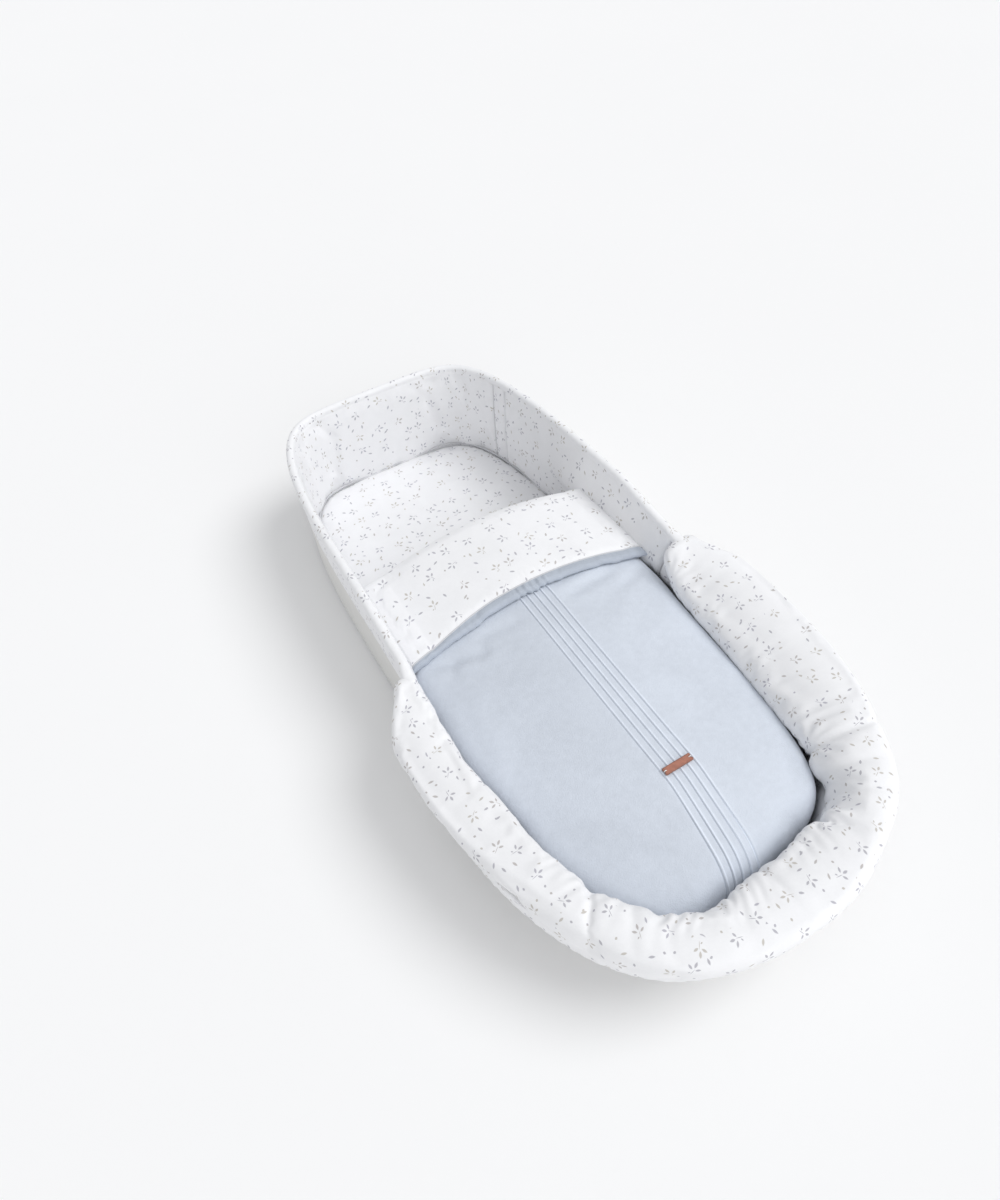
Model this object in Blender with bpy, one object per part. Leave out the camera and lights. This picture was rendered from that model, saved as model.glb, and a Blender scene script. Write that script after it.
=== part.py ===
"""Carrycot footmuff: padded liner with a stuffed rim roll, and a zip-on cover with a fold-over cuff.

Metres, +Z up. +Y points to the head end and +X to the right of someone at the foot end.
The origin is under the middle of the liner, on the surface that it stands on.
"""
import bpy
import bmesh
import numpy as np
from mathutils import Vector

# Plan of the rim: the line that the middle of the roll follows
RIM_HALF_WIDTH = 0.200
RIM_FOOT_REACH = 0.351
RIM_HEAD_REACH = 0.525
RIM_FOOT_POWER = 2.8
RIM_HEAD_POWER = 4.6

# Gaps
GAP = 0.0003
SEAM_GAP = 0.0008

# Cloth
CLOTH = 0.0010
PRINT_CLOTH = 0.0012
COVER_CLOTH = 0.0014

# Base pad
PAD_INSET = 0.031
PAD_WADDING = 0.0165
PAD_CROWN = 0.005
PAD_EDGE_DROP = 0.0035
PIPING_RADIUS = 0.0016

# Walls, as distances inside the rim line
WALL_FOOT_Z = 0.003
WALL_INSET_LOW = 0.0300
WALL_INSET_HIGH = 0.0270
WALL_WADDING = 0.0065
WALL_BULGE = 0.0015
WALL_TOP = 0.152
WALL_TOP_AT_ROLL = 0.138
WALL_FALL_LENGTH = 0.120
BINDING_RISE = 0.005
BINDING_OVERHANG = 0.0006
STRIP_FROM_HEAD = 0.256
STRIP_WIDTH = 0.028

# Stuffed rim roll
ROLL_START = 0.500
ROLL_CORNER_ROOM = 0.015
ROLL_PINCH_RIGHT = 0.085
ROLL_HALF_WIDTH = 0.0290
ROLL_HALF_HEIGHT = 0.0245
ROLL_MIDDLE_Z = 0.1110
ROLL_SQUARENESS = 2.3
ROLL_SEAT_Z = 0.0900
ROLL_TAPER = 0.070
ROLL_START_HALF_WIDTH = 0.0150
ROLL_START_HALF_HEIGHT = 0.0160
ROLL_START_SHIFT = -0.0130
ROLL_START_MIDDLE_Z = 0.1240
ROLL_CREASE_DEPTH = 0.0065
ROLL_CREASE_REACH = 0.016
ROLL_GATHER = 0.0012
ROLL_GATHER_PITCH = 0.055

# Rim skirt and its elastic
SKIRT_HEM_Z = 0.0680
SKIRT_OUT_TOP = 0.0270
SKIRT_OUT_HEM = 0.0245
SKIRT_THICKNESS = 0.0020
ELASTIC_HEIGHT = 0.0080
ELASTIC_THICKNESS = 0.0012
ELASTIC_ABOVE_HEM = 0.0020

# Cover
COVER_SIDE_ROOM = 0.0480
COVER_END_ROOM = 0.0470
COVER_END_POWER = 5.2
COVER_TAPER = 0.0220
COVER_END_RADIUS = 0.0300
COVER_EDGE_RADIUS = 0.0180
COVER_EDGE_Z = 0.0980
COVER_CROWN_HEAD = 0.0220
COVER_CROWN_FOOT = 0.0100
COVER_WADDING = 0.0060
COVER_HINGE_ROOM = 0.0790
COVER_FOLD_REACH = 0.2000
TUCK_COUNT = 5
TUCK_PITCH = 0.0090
TUCK_RISE = 0.0014
TUCK_HALF_WIDTH = 0.0028

# Cuff
CUFF_LENGTH = 0.1330
CUFF_SIDE_GROWTH = 0.0100
CUFF_BORDER = 0.0140
CUFF_PIPING_WIDTH = 0.0016
CUFF_WADDING = 0.0045
CUFF_OVERHANG = 0.0080

# Leather label
LABEL_LENGTH = 0.0340
LABEL_WIDTH = 0.0085
LABEL_THICKNESS = 0.0014
LABEL_ROOM = 0.0760
STITCH_LENGTH = 0.0050
STITCH_WIDTH = 0.0009
STITCH_RISE = 0.0006

# Side zips
ZIP_Z = 0.0450
ZIP_OUTSIDE_HEM = 0.0055
ZIP_WALL_ROOM = 0.0055
ZIP_HALF_GAP = 0.0006
COIL_WIDTH = 0.0022
COIL_HEIGHT = 0.0020
TAPE_THICKNESS = 0.0006
TAPE_UNDER_HEM = 0.0060
ZIP_FOOT_MARGIN = 0.0080
SLIDER_REST_REACH = 0.0225
COVER_COIL_REACH = 0.0100
STOP_LENGTH = 0.0020
SLIDER_TRAVEL = 0.1600
SLIDER_LENGTH = 0.0110
SLIDER_PLATE = 0.0010
SLIDER_POST = 0.0005
SLIDER_RUN_GAP = 0.0004
SLIDER_LIP = 0.0005
BRIDGE_LENGTH = 0.0064
BRIDGE_WIDTH = 0.0018
BRIDGE_BAR = 0.0009
BRIDGE_HOLE = 0.0022
BRIDGE_FOOT = 0.0012
PULLER_BAR = 0.0010
PULLER_LENGTH = 0.0240
PULLER_WIDTH = 0.0050
PULLER_WINDOW_LENGTH = 0.0052
PULLER_WINDOW_WIDTH = 0.0026
OVERRUN = 0.0010

# How finely curved pieces are divided
ROLL_SIDES = 12
ROLL_PITCH = 0.0220
PLAN_STEPS = 36
PIPING_SIDES = 6
CUFF_COLUMNS = 11
CUFF_ROW_SHARE = 0.3

# What follows from the sizes above
ROLL_CORNER = RIM_HALF_WIDTH - ROLL_CORNER_ROOM
WALL_BACK = WALL_INSET_HIGH - PRINT_CLOTH - WALL_WADDING - CLOTH - GAP - GAP
WIDEST_Y = (RIM_FOOT_REACH + ROLL_HALF_WIDTH - RIM_HEAD_REACH + WALL_BACK) / 2
PAD_WADDING_Z = CLOTH + GAP
PAD_CLOTH_Z = PAD_WADDING_Z + PAD_WADDING + GAP
PAD_EDGE_Z = PAD_CLOTH_Z + PRINT_CLOTH
COVER_HINGE_REACH = RIM_FOOT_REACH - COVER_HINGE_ROOM
LABEL_REACH = COVER_HINGE_REACH - LABEL_ROOM
HINGE_Y = WIDEST_Y - COVER_HINGE_REACH
FOLD_Y = WIDEST_Y + COVER_FOLD_REACH
COVER_HALF_WIDTH = RIM_HALF_WIDTH - COVER_SIDE_ROOM
COVER_END_REACH = RIM_FOOT_REACH - COVER_END_ROOM
ZIP_X = COVER_HALF_WIDTH + ZIP_OUTSIDE_HEM
COVER_HEM_Z = ZIP_Z + TAPE_THICKNESS / 2 + GAP
HINGE_Z = COVER_EDGE_Z + COVER_CROWN_FOOT + TUCK_RISE
FOLD_Z = COVER_EDGE_Z + COVER_CROWN_HEAD + TUCK_RISE + GAP


def rim_path():
    """Points along the right half of the rim line, foot middle to head middle, with their lengths."""
    turn = np.linspace(0, np.pi / 2, 1200)

    def quarter(reach, power):
        across = RIM_HALF_WIDTH * np.sin(turn) ** (2 / power)
        along = reach * np.cos(turn) ** (2 / power)
        return across, along

    foot_x, foot_y = quarter(RIM_FOOT_REACH, RIM_FOOT_POWER)
    head_x, head_y = quarter(RIM_HEAD_REACH, RIM_HEAD_POWER)
    x = np.concatenate([foot_x, head_x[-2::-1]])
    y = np.concatenate([-foot_y, head_y[-2::-1]]) + WIDEST_Y
    length = np.concatenate([[0.0], np.cumsum(np.hypot(np.diff(x), np.diff(y)))])
    return x, y, length


PATH_X, PATH_Y, PATH_LENGTH = rim_path()
HALF_RIM = PATH_LENGTH[-1]
STRIP_START = HALF_RIM - STRIP_FROM_HEAD
STRIP_END = STRIP_START + STRIP_WIDTH
PATH_TURN = np.unwrap(np.arctan2(np.gradient(PATH_Y, PATH_LENGTH), np.gradient(PATH_X, PATH_LENGTH)))
CREASES = (-ROLL_CORNER, ROLL_PINCH_RIGHT, ROLL_CORNER)


def rim(station, out, z):
    """Point beside the rim line: station is the length from the foot middle, positive to the right."""
    side = 1 if station >= 0 else -1
    along = abs(station)
    if along > HALF_RIM:
        along = 2 * HALF_RIM - along
        side = -side
    x = np.interp(along, PATH_LENGTH, PATH_X)
    y = np.interp(along, PATH_LENGTH, PATH_Y)
    turn = np.interp(along, PATH_LENGTH, PATH_TURN)
    return Vector((side * (x + out * np.sin(turn)), y - out * np.cos(turn), z))


def smooth_step(value):
    """0 below 0, 1 above 1, and a soft rise between."""
    value = min(max(value, 0.0), 1.0)
    return value * value * (3 - 2 * value)


def material(name, colour, roughness, metallic=0.0):
    made = bpy.data.materials.new(name)
    made.use_nodes = True
    shader = made.node_tree.nodes["Principled BSDF"]
    shader.inputs["Base Color"].default_value = (*colour, 1.0)
    shader.inputs["Roughness"].default_value = roughness
    shader.inputs["Metallic"].default_value = metallic
    return made


PRINT_COLOUR = (0.86, 0.86, 0.85)
WADDING_COLOUR = (0.92, 0.92, 0.90)
PLAIN_COLOUR = (0.80, 0.80, 0.78)
BLUE_COLOUR = (0.56, 0.64, 0.69)
TAPE_COLOUR = (0.50, 0.58, 0.63)
LEATHER_COLOUR = (0.30, 0.12, 0.07)
THREAD_COLOUR = (0.85, 0.83, 0.78)
METAL_COLOUR = (0.55, 0.56, 0.57)


def finish_mesh(name, vertices, faces, colour, roughness=0.9, metallic=0.0):
    """Object from points and faces, closed, facing out and with its own material."""
    mesh = bpy.data.meshes.new(name)
    mesh.from_pydata([tuple(point) for point in vertices], [], faces)
    shape = bmesh.new()
    shape.from_mesh(mesh)
    bmesh.ops.recalc_face_normals(shape, faces=shape.faces)
    shape.to_mesh(mesh)
    shape.free()
    mesh.shade_smooth()
    mesh.set_sharp_from_angle(angle=np.radians(50))
    made = bpy.data.objects.new(name, mesh)
    bpy.context.scene.collection.objects.link(made)
    mesh.materials.append(material(name, colour, roughness, metallic))
    return made


def quad(a, b, c, d):
    """Two triangles, always split the same way, so that layers on each other stay apart."""
    return [(a, b, c), (a, c, d)]


def slab(name, upper, lower, colour, **look):
    """Closed sheet between two grids of points, each a list of rows."""
    rows = len(upper)
    columns = len(upper[0])
    vertices = [point for grid in (upper, lower) for row in grid for point in row]

    def at(layer, row, column):
        return (layer * rows + row) * columns + column

    faces = []
    for row in range(rows - 1):
        for column in range(columns - 1):
            for layer in (0, 1):
                faces += quad(at(layer, row, column), at(layer, row, column + 1),
                              at(layer, row + 1, column + 1), at(layer, row + 1, column))
    for row in range(rows - 1):
        for column in (0, columns - 1):
            faces += quad(at(0, row, column), at(0, row + 1, column),
                          at(1, row + 1, column), at(1, row, column))
    for column in range(columns - 1):
        for row in (0, rows - 1):
            faces += quad(at(0, row, column), at(0, row, column + 1),
                          at(1, row, column + 1), at(1, row, column))
    return finish_mesh(name, vertices, faces, colour, **look)


def tube(name, rings, colour, closed=False, **look):
    """Closed body through a row of rings; an open row gets flat ends."""
    count = len(rings)
    sides = len(rings[0])
    vertices = [point for ring in rings for point in ring]
    faces = []
    for row in range(count if closed else count - 1):
        for side in range(sides):
            near = row * sides
            far = (row + 1) % count * sides
            following = (side + 1) % sides
            faces += quad(near + side, near + following, far + following, far + side)
    if not closed:
        faces.append(list(range(sides)))
        faces.append([(count - 1) * sides + side for side in reversed(range(sides))])
    return finish_mesh(name, vertices, faces, colour, **look)


def sleeve(name, outer, inner, colour, **look):
    """Open-ended cloth tube between two rows of rings."""
    count = len(outer)
    sides = len(outer[0])
    vertices = [point for rings in (outer, inner) for ring in rings for point in ring]
    faces = []
    for side in range(sides):
        following = (side + 1) % sides
        for row in range(count - 1):
            for skin in (0, count * sides):
                near = skin + row * sides
                far = near + sides
                faces += quad(near + side, near + following, far + following, far + side)
        for row in (0, count - 1):
            near = row * sides
            inside = near + count * sides
            faces += quad(near + side, near + following, inside + following, inside + side)
    return finish_mesh(name, vertices, faces, colour, **look)


def block(name, low, high, colour, **look):
    """Box from its low and high corners."""
    upper = [[Vector((x, y, high[2])) for x in (low[0], high[0])] for y in (low[1], high[1])]
    lower = [[Vector((x, y, low[2])) for x in (low[0], high[0])] for y in (low[1], high[1])]
    return slab(name, upper, lower, colour, **look)


def stations(start, end, pitch):
    """Even steps along the rim, close to the pitch asked for."""
    count = max(2, round(abs(end - start) / pitch) + 1)
    return np.linspace(start, end, count)


# Base pad

def pad_ring(inset, share, z):
    """One loop of the pad's outline, drawn in towards the pad's middle by a share."""
    ring = []
    for station in np.linspace(-HALF_RIM, HALF_RIM, PLAN_STEPS, endpoint=False):
        point = rim(station, -inset, z)
        middle = Vector((0.0, (RIM_HEAD_REACH - RIM_FOOT_REACH) / 2 + WIDEST_Y, z))
        ring.append(middle + (point - middle) * (1 - share))
    return ring


def pad_surface(z):
    """Rings of the pad's crowned top, from its low edge inwards."""
    ring_shares = (0.0, 0.03, 0.20, 0.60)
    rise_shares = (0.0, 0.0, 0.55, 1.0)
    heights = [z - PAD_EDGE_DROP] + [z + PAD_CROWN * rise for rise in rise_shares[1:]]
    return [pad_ring(PAD_INSET, share, height) for share, height in zip(ring_shares, heights)]


def base_pad():
    tube("base_backing", [pad_ring(PAD_INSET, 0.0, z) for z in (0.0, CLOTH)], PLAIN_COLOUR)
    tube("base_wadding", [pad_ring(PAD_INSET, 0.0, PAD_WADDING_Z)]
         + pad_surface(PAD_WADDING_Z + PAD_WADDING), WADDING_COLOUR)
    tube("base_top_cloth", pad_surface(PAD_CLOTH_Z)[::-1] + pad_surface(PAD_EDGE_Z), PRINT_COLOUR)
    seam_piping()


def seam_piping():
    """Piping in the corner between the pad's edge and the wall."""
    middle_out = -(WALL_INSET_LOW + PIPING_RADIUS + WALL_BULGE + GAP)
    middle_z = PAD_EDGE_Z + PIPING_RADIUS + GAP
    rings = []
    for station in np.linspace(-HALF_RIM, HALF_RIM, PLAN_STEPS, endpoint=False):
        ring = []
        for turn in np.linspace(0, 2 * np.pi, PIPING_SIDES, endpoint=False):
            out = middle_out + PIPING_RADIUS * np.cos(turn)
            ring.append(rim(station, out, middle_z + PIPING_RADIUS * np.sin(turn)))
        rings.append(ring)
    tube("base_piping", rings, PLAIN_COLOUR, closed=True)


# Walls

def wall_top(station):
    """Height of the wall: full round the head, falling to meet the start of the roll."""
    fall = 1 - smooth_step((abs(station) - ROLL_START) / WALL_FALL_LENGTH)
    return WALL_TOP - fall * (WALL_TOP - WALL_TOP_AT_ROLL)


def roll_underside(station, out):
    """Lowest height of the full roll at a distance beside the rim line."""
    middle_out, middle_z, half_width, half_height = roll_shape(station, creased=False)
    share = min(abs(out - middle_out) / half_width, 1.0)
    drop = (1 - share ** ROLL_SQUARENESS) ** (1 / ROLL_SQUARENESS)
    return middle_z - half_height * drop


def wall_inset(share):
    """Inner face of the wall by its height share, with a slight padded bulge."""
    lean = WALL_INSET_LOW + (WALL_INSET_HIGH - WALL_INSET_LOW) * share
    return lean + WALL_BULGE * np.sin(np.pi * share)


def wall_layer(name, start, end, depth, thickness, colour, under_roll=False):
    """One layer of the wall from depth behind its inner face."""
    inner = []
    outer = []
    height_shares = (0.0, 0.35, 0.7, 1.0)
    for station in wall_places(start, end):
        inner_row = []
        outer_row = []
        for share in height_shares:
            near = -wall_inset(share) + depth
            far = near + thickness
            top = roll_underside(station, far) - SEAM_GAP if under_roll else wall_top(station)
            z = WALL_FOOT_Z + (top - WALL_FOOT_Z) * share
            inner_row.append(rim(station, near, z))
            outer_row.append(rim(station, far, z))
        inner.append(inner_row)
        outer.append(outer_row)
    slab(name, inner, outer, colour)


def wall_places(start, end):
    return stations(start, end, HALF_RIM / PLAN_STEPS)


def wall_piece(name, start, end, under_roll=False):
    """Printed face, wadding and plain backing of one length of wall."""
    start = start + np.sign(end - start) * GAP
    wall_layer(name + "_face", start, end, 0.0, PRINT_CLOTH, PRINT_COLOUR, under_roll)
    wall_layer(name + "_wadding", start, end, PRINT_CLOTH + GAP, WALL_WADDING, WADDING_COLOUR, under_roll)
    wall_layer(name + "_backing", start, end, PRINT_CLOTH + WALL_WADDING + 2 * GAP, CLOTH,
               PLAIN_COLOUR, under_roll)


def walls():
    wall_piece("foot_wall", -ROLL_START, ROLL_START, under_roll=True)
    wall_piece("right_wall", ROLL_START, STRIP_START)
    wall_piece("left_wall", -ROLL_START, -STRIP_START)
    wall_layer("right_corner_strip", STRIP_START + GAP, STRIP_END, 0.0, strip_thickness(), PRINT_COLOUR)
    wall_layer("left_corner_strip", -STRIP_START - GAP, -STRIP_END, 0.0, strip_thickness(), PRINT_COLOUR)
    wall_piece("head_wall", STRIP_END, 2 * HALF_RIM - STRIP_END - GAP)
    binding()


def strip_thickness():
    return PRINT_CLOTH + WALL_WADDING + CLOTH + 2 * GAP


def binding():
    """Turned top edge over the wall from one roll start to the other, round the head."""
    inner = -WALL_INSET_HIGH - BINDING_OVERHANG
    outer = -WALL_BACK + BINDING_OVERHANG
    middle = (inner + outer) / 2
    half = (outer - inner) / 2
    rings = []
    for station in stations(ROLL_START + GAP, 2 * HALF_RIM - ROLL_START - GAP, HALF_RIM / PLAN_STEPS):
        shown = station if station < HALF_RIM else 2 * HALF_RIM - station
        foot = wall_top(shown) + GAP
        ring = [rim(station, outer, foot), rim(station, inner, foot)]
        for turn in np.linspace(np.pi, 0, 5):
            lift = BINDING_RISE * (1 + np.sin(turn)) / 2
            ring.append(rim(station, middle + half * np.cos(turn), foot + lift))
        rings.append(ring)
    tube("wall_binding", rings, PRINT_COLOUR)


# Rim roll

def roll_shape(station, creased=True):
    """Middle and half sizes of the roll: tapered at its starts, pinched at creases, softly gathered."""
    along = abs(station)
    full = smooth_step((ROLL_START - along) / ROLL_TAPER)
    crease = 0.0
    for place in CREASES:
        crease = max(crease, np.exp(-((station - place) / ROLL_CREASE_REACH) ** 2))
    gather = ROLL_GATHER * np.sin(2 * np.pi * station / ROLL_GATHER_PITCH) * full
    half_width = ROLL_START_HALF_WIDTH + full * (ROLL_HALF_WIDTH - ROLL_START_HALF_WIDTH)
    half_height = ROLL_START_HALF_HEIGHT + full * (ROLL_HALF_HEIGHT - ROLL_START_HALF_HEIGHT)
    out = ROLL_START_SHIFT * (1 - full)
    middle_z = ROLL_START_MIDDLE_Z + full * (ROLL_MIDDLE_Z - ROLL_START_MIDDLE_Z)
    inward = crease * ROLL_CREASE_DEPTH - min(gather, 0.0) if creased else 0.0
    return out, middle_z, half_width - inward, half_height - inward


def roll_ring(station, inset):
    """Section of the roll, flat where it sits on a rim; drawn in by inset for what lies inside."""
    out, middle_z, half_width, half_height = roll_shape(station)
    ring = []
    for turn in np.linspace(0, 2 * np.pi, ROLL_SIDES, endpoint=False):
        across = abs(np.cos(turn)) ** (2 / ROLL_SQUARENESS) * np.sign(np.cos(turn))
        up = abs(np.sin(turn)) ** (2 / ROLL_SQUARENESS) * np.sign(np.sin(turn))
        z = middle_z + (half_height - inset) * up
        ring.append(rim(station, out + (half_width - inset) * across, max(z, ROLL_SEAT_Z + inset)))
    return ring


def roll_places(start, end):
    """Even steps along a roll, with closer ones at its creases."""
    places = list(stations(start, end, ROLL_PITCH))
    low, high = min(start, end), max(start, end)
    for crease in CREASES:
        for place in (crease - ROLL_CREASE_REACH / 2, crease, crease + ROLL_CREASE_REACH / 2):
            if low + GAP < place < high - GAP:
                places.append(place)
    return sorted(places)


def roll_piece(name, start, end):
    places = roll_places(start, end)
    sleeve(name + "_cloth", [roll_ring(place, 0.0) for place in places],
           [roll_ring(place, PRINT_CLOTH) for place in places], PRINT_COLOUR)
    tube(name + "_filling", [roll_ring(place, PRINT_CLOTH + 2 * GAP) for place in places],
         WADDING_COLOUR)


def rim_roll():
    roll_piece("foot_roll", -ROLL_CORNER + GAP, ROLL_CORNER - GAP)
    roll_piece("right_roll", ROLL_CORNER + GAP, ROLL_START)
    roll_piece("left_roll", -ROLL_CORNER - GAP, -ROLL_START)


def skirt_out(share):
    return SKIRT_OUT_HEM + (SKIRT_OUT_TOP - SKIRT_OUT_HEM) * share


def rim_skirt():
    """Band below the outside of the roll, and the elastic inside its hem."""
    inner = []
    outer = []
    top_z = roll_underside(0.0, SKIRT_OUT_TOP - SKIRT_THICKNESS) - GAP
    for station in stations(-ROLL_START + ROLL_TAPER, ROLL_START - ROLL_TAPER, HALF_RIM / PLAN_STEPS):
        rows = [(skirt_out(share), SKIRT_HEM_Z + (top_z - SKIRT_HEM_Z) * share) for share in (0.0, 0.5, 1.0)]
        outer.append([rim(station, out, z) for out, z in rows])
        inner.append([rim(station, out - SKIRT_THICKNESS, z) for out, z in rows])
    slab("rim_skirt", outer, inner, PRINT_COLOUR)
    rings = []
    low = SKIRT_HEM_Z + ELASTIC_ABOVE_HEM
    face = SKIRT_OUT_HEM - SKIRT_THICKNESS - GAP
    for station in stations(-ROLL_START + ROLL_TAPER, ROLL_START - ROLL_TAPER, HALF_RIM / PLAN_STEPS):
        rings.append([rim(station, face, low), rim(station, face, low + ELASTIC_HEIGHT),
                      rim(station, face - ELASTIC_THICKNESS, low + ELASTIC_HEIGHT),
                      rim(station, face - ELASTIC_THICKNESS, low)])
    tube("skirt_elastic", rings, PLAIN_COLOUR)


# Cover

def cover_crown(y):
    """Rise of the cover's middle above its edges: most near the fold, less at the hinge."""
    share = (y - HINGE_Y) / (FOLD_Y - HINGE_Y)
    return COVER_CROWN_FOOT + (COVER_CROWN_HEAD - COVER_CROWN_FOOT) * smooth_step(share)


def tuck_rise(x):
    """Height of the raised tucks at a place across the cover."""
    rise = 0.0
    for middle in tuck_places():
        rise = max(rise, 1 - abs(x - middle) / TUCK_HALF_WIDTH)
    return TUCK_RISE * rise


def tuck_places():
    return [(number - (TUCK_COUNT - 1) / 2) * TUCK_PITCH for number in range(TUCK_COUNT)]


def across_places(half, tucks):
    """Places across the flat of the cover: three at each tuck and even steps outside them."""
    edge = max(tuck_places()) + TUCK_HALF_WIDTH
    places = [-edge, 0.0, edge]
    if tucks:
        places = []
        for middle in tuck_places():
            places += [middle - TUCK_HALF_WIDTH, middle, middle + TUCK_HALF_WIDTH]
    for share in (0.5, 1.0):
        place = edge + (half - edge) * share
        places += [-place, place]
    return sorted(places)


def cover_half(y, depth):
    """Half width of the cover at y, drawn in by depth: even, then narrowing to a rounded foot end."""
    half = COVER_HALF_WIDTH - depth
    past = (WIDEST_Y - y) / (COVER_END_REACH - depth)
    if past <= 0:
        return half
    return (half - COVER_TAPER * past) * (1 - past ** COVER_END_POWER) ** (1 / COVER_END_POWER)


def end_drop(y, depth):
    """Fall of the cover's top where it rounds over at the foot."""
    radius = COVER_END_RADIUS - depth
    over = radius - (COVER_END_REACH - depth - (WIDEST_Y - y))
    if over <= 0:
        return 0.0
    return radius - (radius ** 2 - over ** 2) ** 0.5


def cover_profile(y, depth, tucks, raised):
    """Cover section at y, from left hem over the crown to right hem, depth below its outer face."""
    radius = COVER_EDGE_RADIUS - depth
    half_flat = cover_half(y, depth) - radius
    drop = end_drop(y, depth)
    shoulder_z = COVER_EDGE_Z - COVER_EDGE_RADIUS - drop
    right = [Vector((half_flat + radius, y, COVER_HEM_Z))]
    for turn in (0.0, np.pi / 6, np.pi / 3):
        right.append(Vector((half_flat + radius * np.cos(turn), y, shoulder_z + radius * np.sin(turn))))
    left = [Vector((-point.x, y, point.z)) for point in right]
    top = []
    for x in across_places(half_flat, tucks):
        crown = cover_crown(y) * (1 - (x / half_flat) ** 2)
        z = COVER_EDGE_Z - depth - drop + crown + (tuck_rise(x) if raised else 0.0)
        top.append(Vector((x, y, z)))
    return left + top + right[::-1]


def cover_rows(depth, tucks, raised=False):
    row_shares = (0.0, 0.05, 0.12, 0.22, 0.37, 0.55, 0.78, 1.0)
    length = FOLD_Y - HINGE_Y - GAP
    return [cover_profile(HINGE_Y + GAP + length * share, depth, tucks, raised) for share in row_shares]


def foot_end_rows(depth, tucks, raised=False):
    """Rows from the hinge line over the rounded foot end, then straight down to the hem."""
    row_shares = (0.0, 0.3, 0.6, 0.85, 0.97)
    length = COVER_END_REACH - COVER_HINGE_REACH - depth
    rows = [cover_profile(HINGE_Y - length * share, depth, tucks, raised) for share in row_shares]
    rows.append([Vector((point.x, point.y, COVER_HEM_Z)) for point in rows[-1]])
    return rows


def three_layers(names, rows):
    """Outer cloth, wadding and lining on each other, their rows given by a function of depth."""
    depth = 0.0
    made = []
    looks = ((COVER_CLOTH, BLUE_COLOUR), (COVER_WADDING, WADDING_COLOUR), (CLOTH, PRINT_COLOUR))
    for name, (thickness, colour) in zip(names, looks):
        tucks = depth == 0
        made.append(slab(name, rows(depth, tucks, raised=tucks), rows(depth + thickness, tucks), colour))
        depth += thickness + GAP
    return made


def label():
    """Leather label across the tucks with a stitch bar at each end."""
    y = WIDEST_Y - LABEL_REACH
    low = COVER_EDGE_Z + cover_crown(y + LABEL_WIDTH) + TUCK_RISE + GAP
    high = low + LABEL_THICKNESS
    half = LABEL_LENGTH / 2
    made = [block("leather_label", (-half, y - LABEL_WIDTH / 2, low), (half, y + LABEL_WIDTH / 2, high),
                  LEATHER_COLOUR, roughness=0.6)]
    for side, name in ((-1, "left_label_stitch"), (1, "right_label_stitch")):
        x = side * (half - LABEL_WIDTH / 2)
        made.append(block(name, (x - STITCH_WIDTH / 2, y - STITCH_LENGTH / 2, high + GAP),
                          (x + STITCH_WIDTH / 2, y + STITCH_LENGTH / 2, high + GAP + STITCH_RISE),
                          THREAD_COLOUR))
    return made


def cover():
    """The moving length of the cover, and the rounded foot end that stays sewn to the liner."""
    three_layers(("foot_end_outer", "foot_end_wadding", "foot_end_lining"), foot_end_rows)
    moving = three_layers(("cover_outer", "cover_wadding", "cover_lining"), cover_rows)
    return moving + label()


# Cuff

def cuff_place(x_share, length_share, lift):
    """Point on the cuff: lies on the cover's crown and drops a little past its edges."""
    half = COVER_HALF_WIDTH + CUFF_OVERHANG
    x = x_share * half
    y = FOLD_Y - length_share * (CUFF_LENGTH + CUFF_SIDE_GROWTH * x_share ** 2)
    half_flat = COVER_HALF_WIDTH - COVER_EDGE_RADIUS
    inside = min(abs(x) / half_flat, 1.0)
    crown = cover_crown(y) * (1 - inside ** 2)
    return Vector((x, y, COVER_EDGE_Z + crown + TUCK_RISE + lift))


def cuff_rows(start, end, lift):
    x_shares = np.linspace(-1, 1, CUFF_COLUMNS)
    count = max(2, round((end - start) / CUFF_ROW_SHARE) + 1)
    return [[cuff_place(x, along, lift) for x in x_shares]
            for along in np.linspace(start, end, count)]


def cuff():
    back_low = 2 * GAP
    back_high = back_low + COVER_CLOTH
    wadding_high = back_high + GAP + CUFF_WADDING
    face_low = wadding_high + GAP
    border_start = 1 - CUFF_BORDER / CUFF_LENGTH
    piping_start = border_start - CUFF_PIPING_WIDTH / CUFF_LENGTH
    hair = GAP / CUFF_LENGTH
    return [
        slab("cuff_back", cuff_rows(0, 1, back_high), cuff_rows(0, 1, back_low), BLUE_COLOUR),
        slab("cuff_wadding", cuff_rows(0, 1, wadding_high), cuff_rows(0, 1, back_high + GAP),
             WADDING_COLOUR),
        slab("cuff_face", cuff_rows(0, piping_start - hair, face_low + PRINT_CLOTH),
             cuff_rows(0, piping_start - hair, face_low), PRINT_COLOUR),
        slab("cuff_piping", cuff_rows(piping_start, border_start - hair, face_low + PRINT_CLOTH),
             cuff_rows(piping_start, border_start - hair, face_low), TAPE_COLOUR),
        slab("cuff_border", cuff_rows(border_start, 1, face_low + COVER_CLOTH),
             cuff_rows(border_start, 1, face_low), BLUE_COLOUR)]


# Zips

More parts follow.
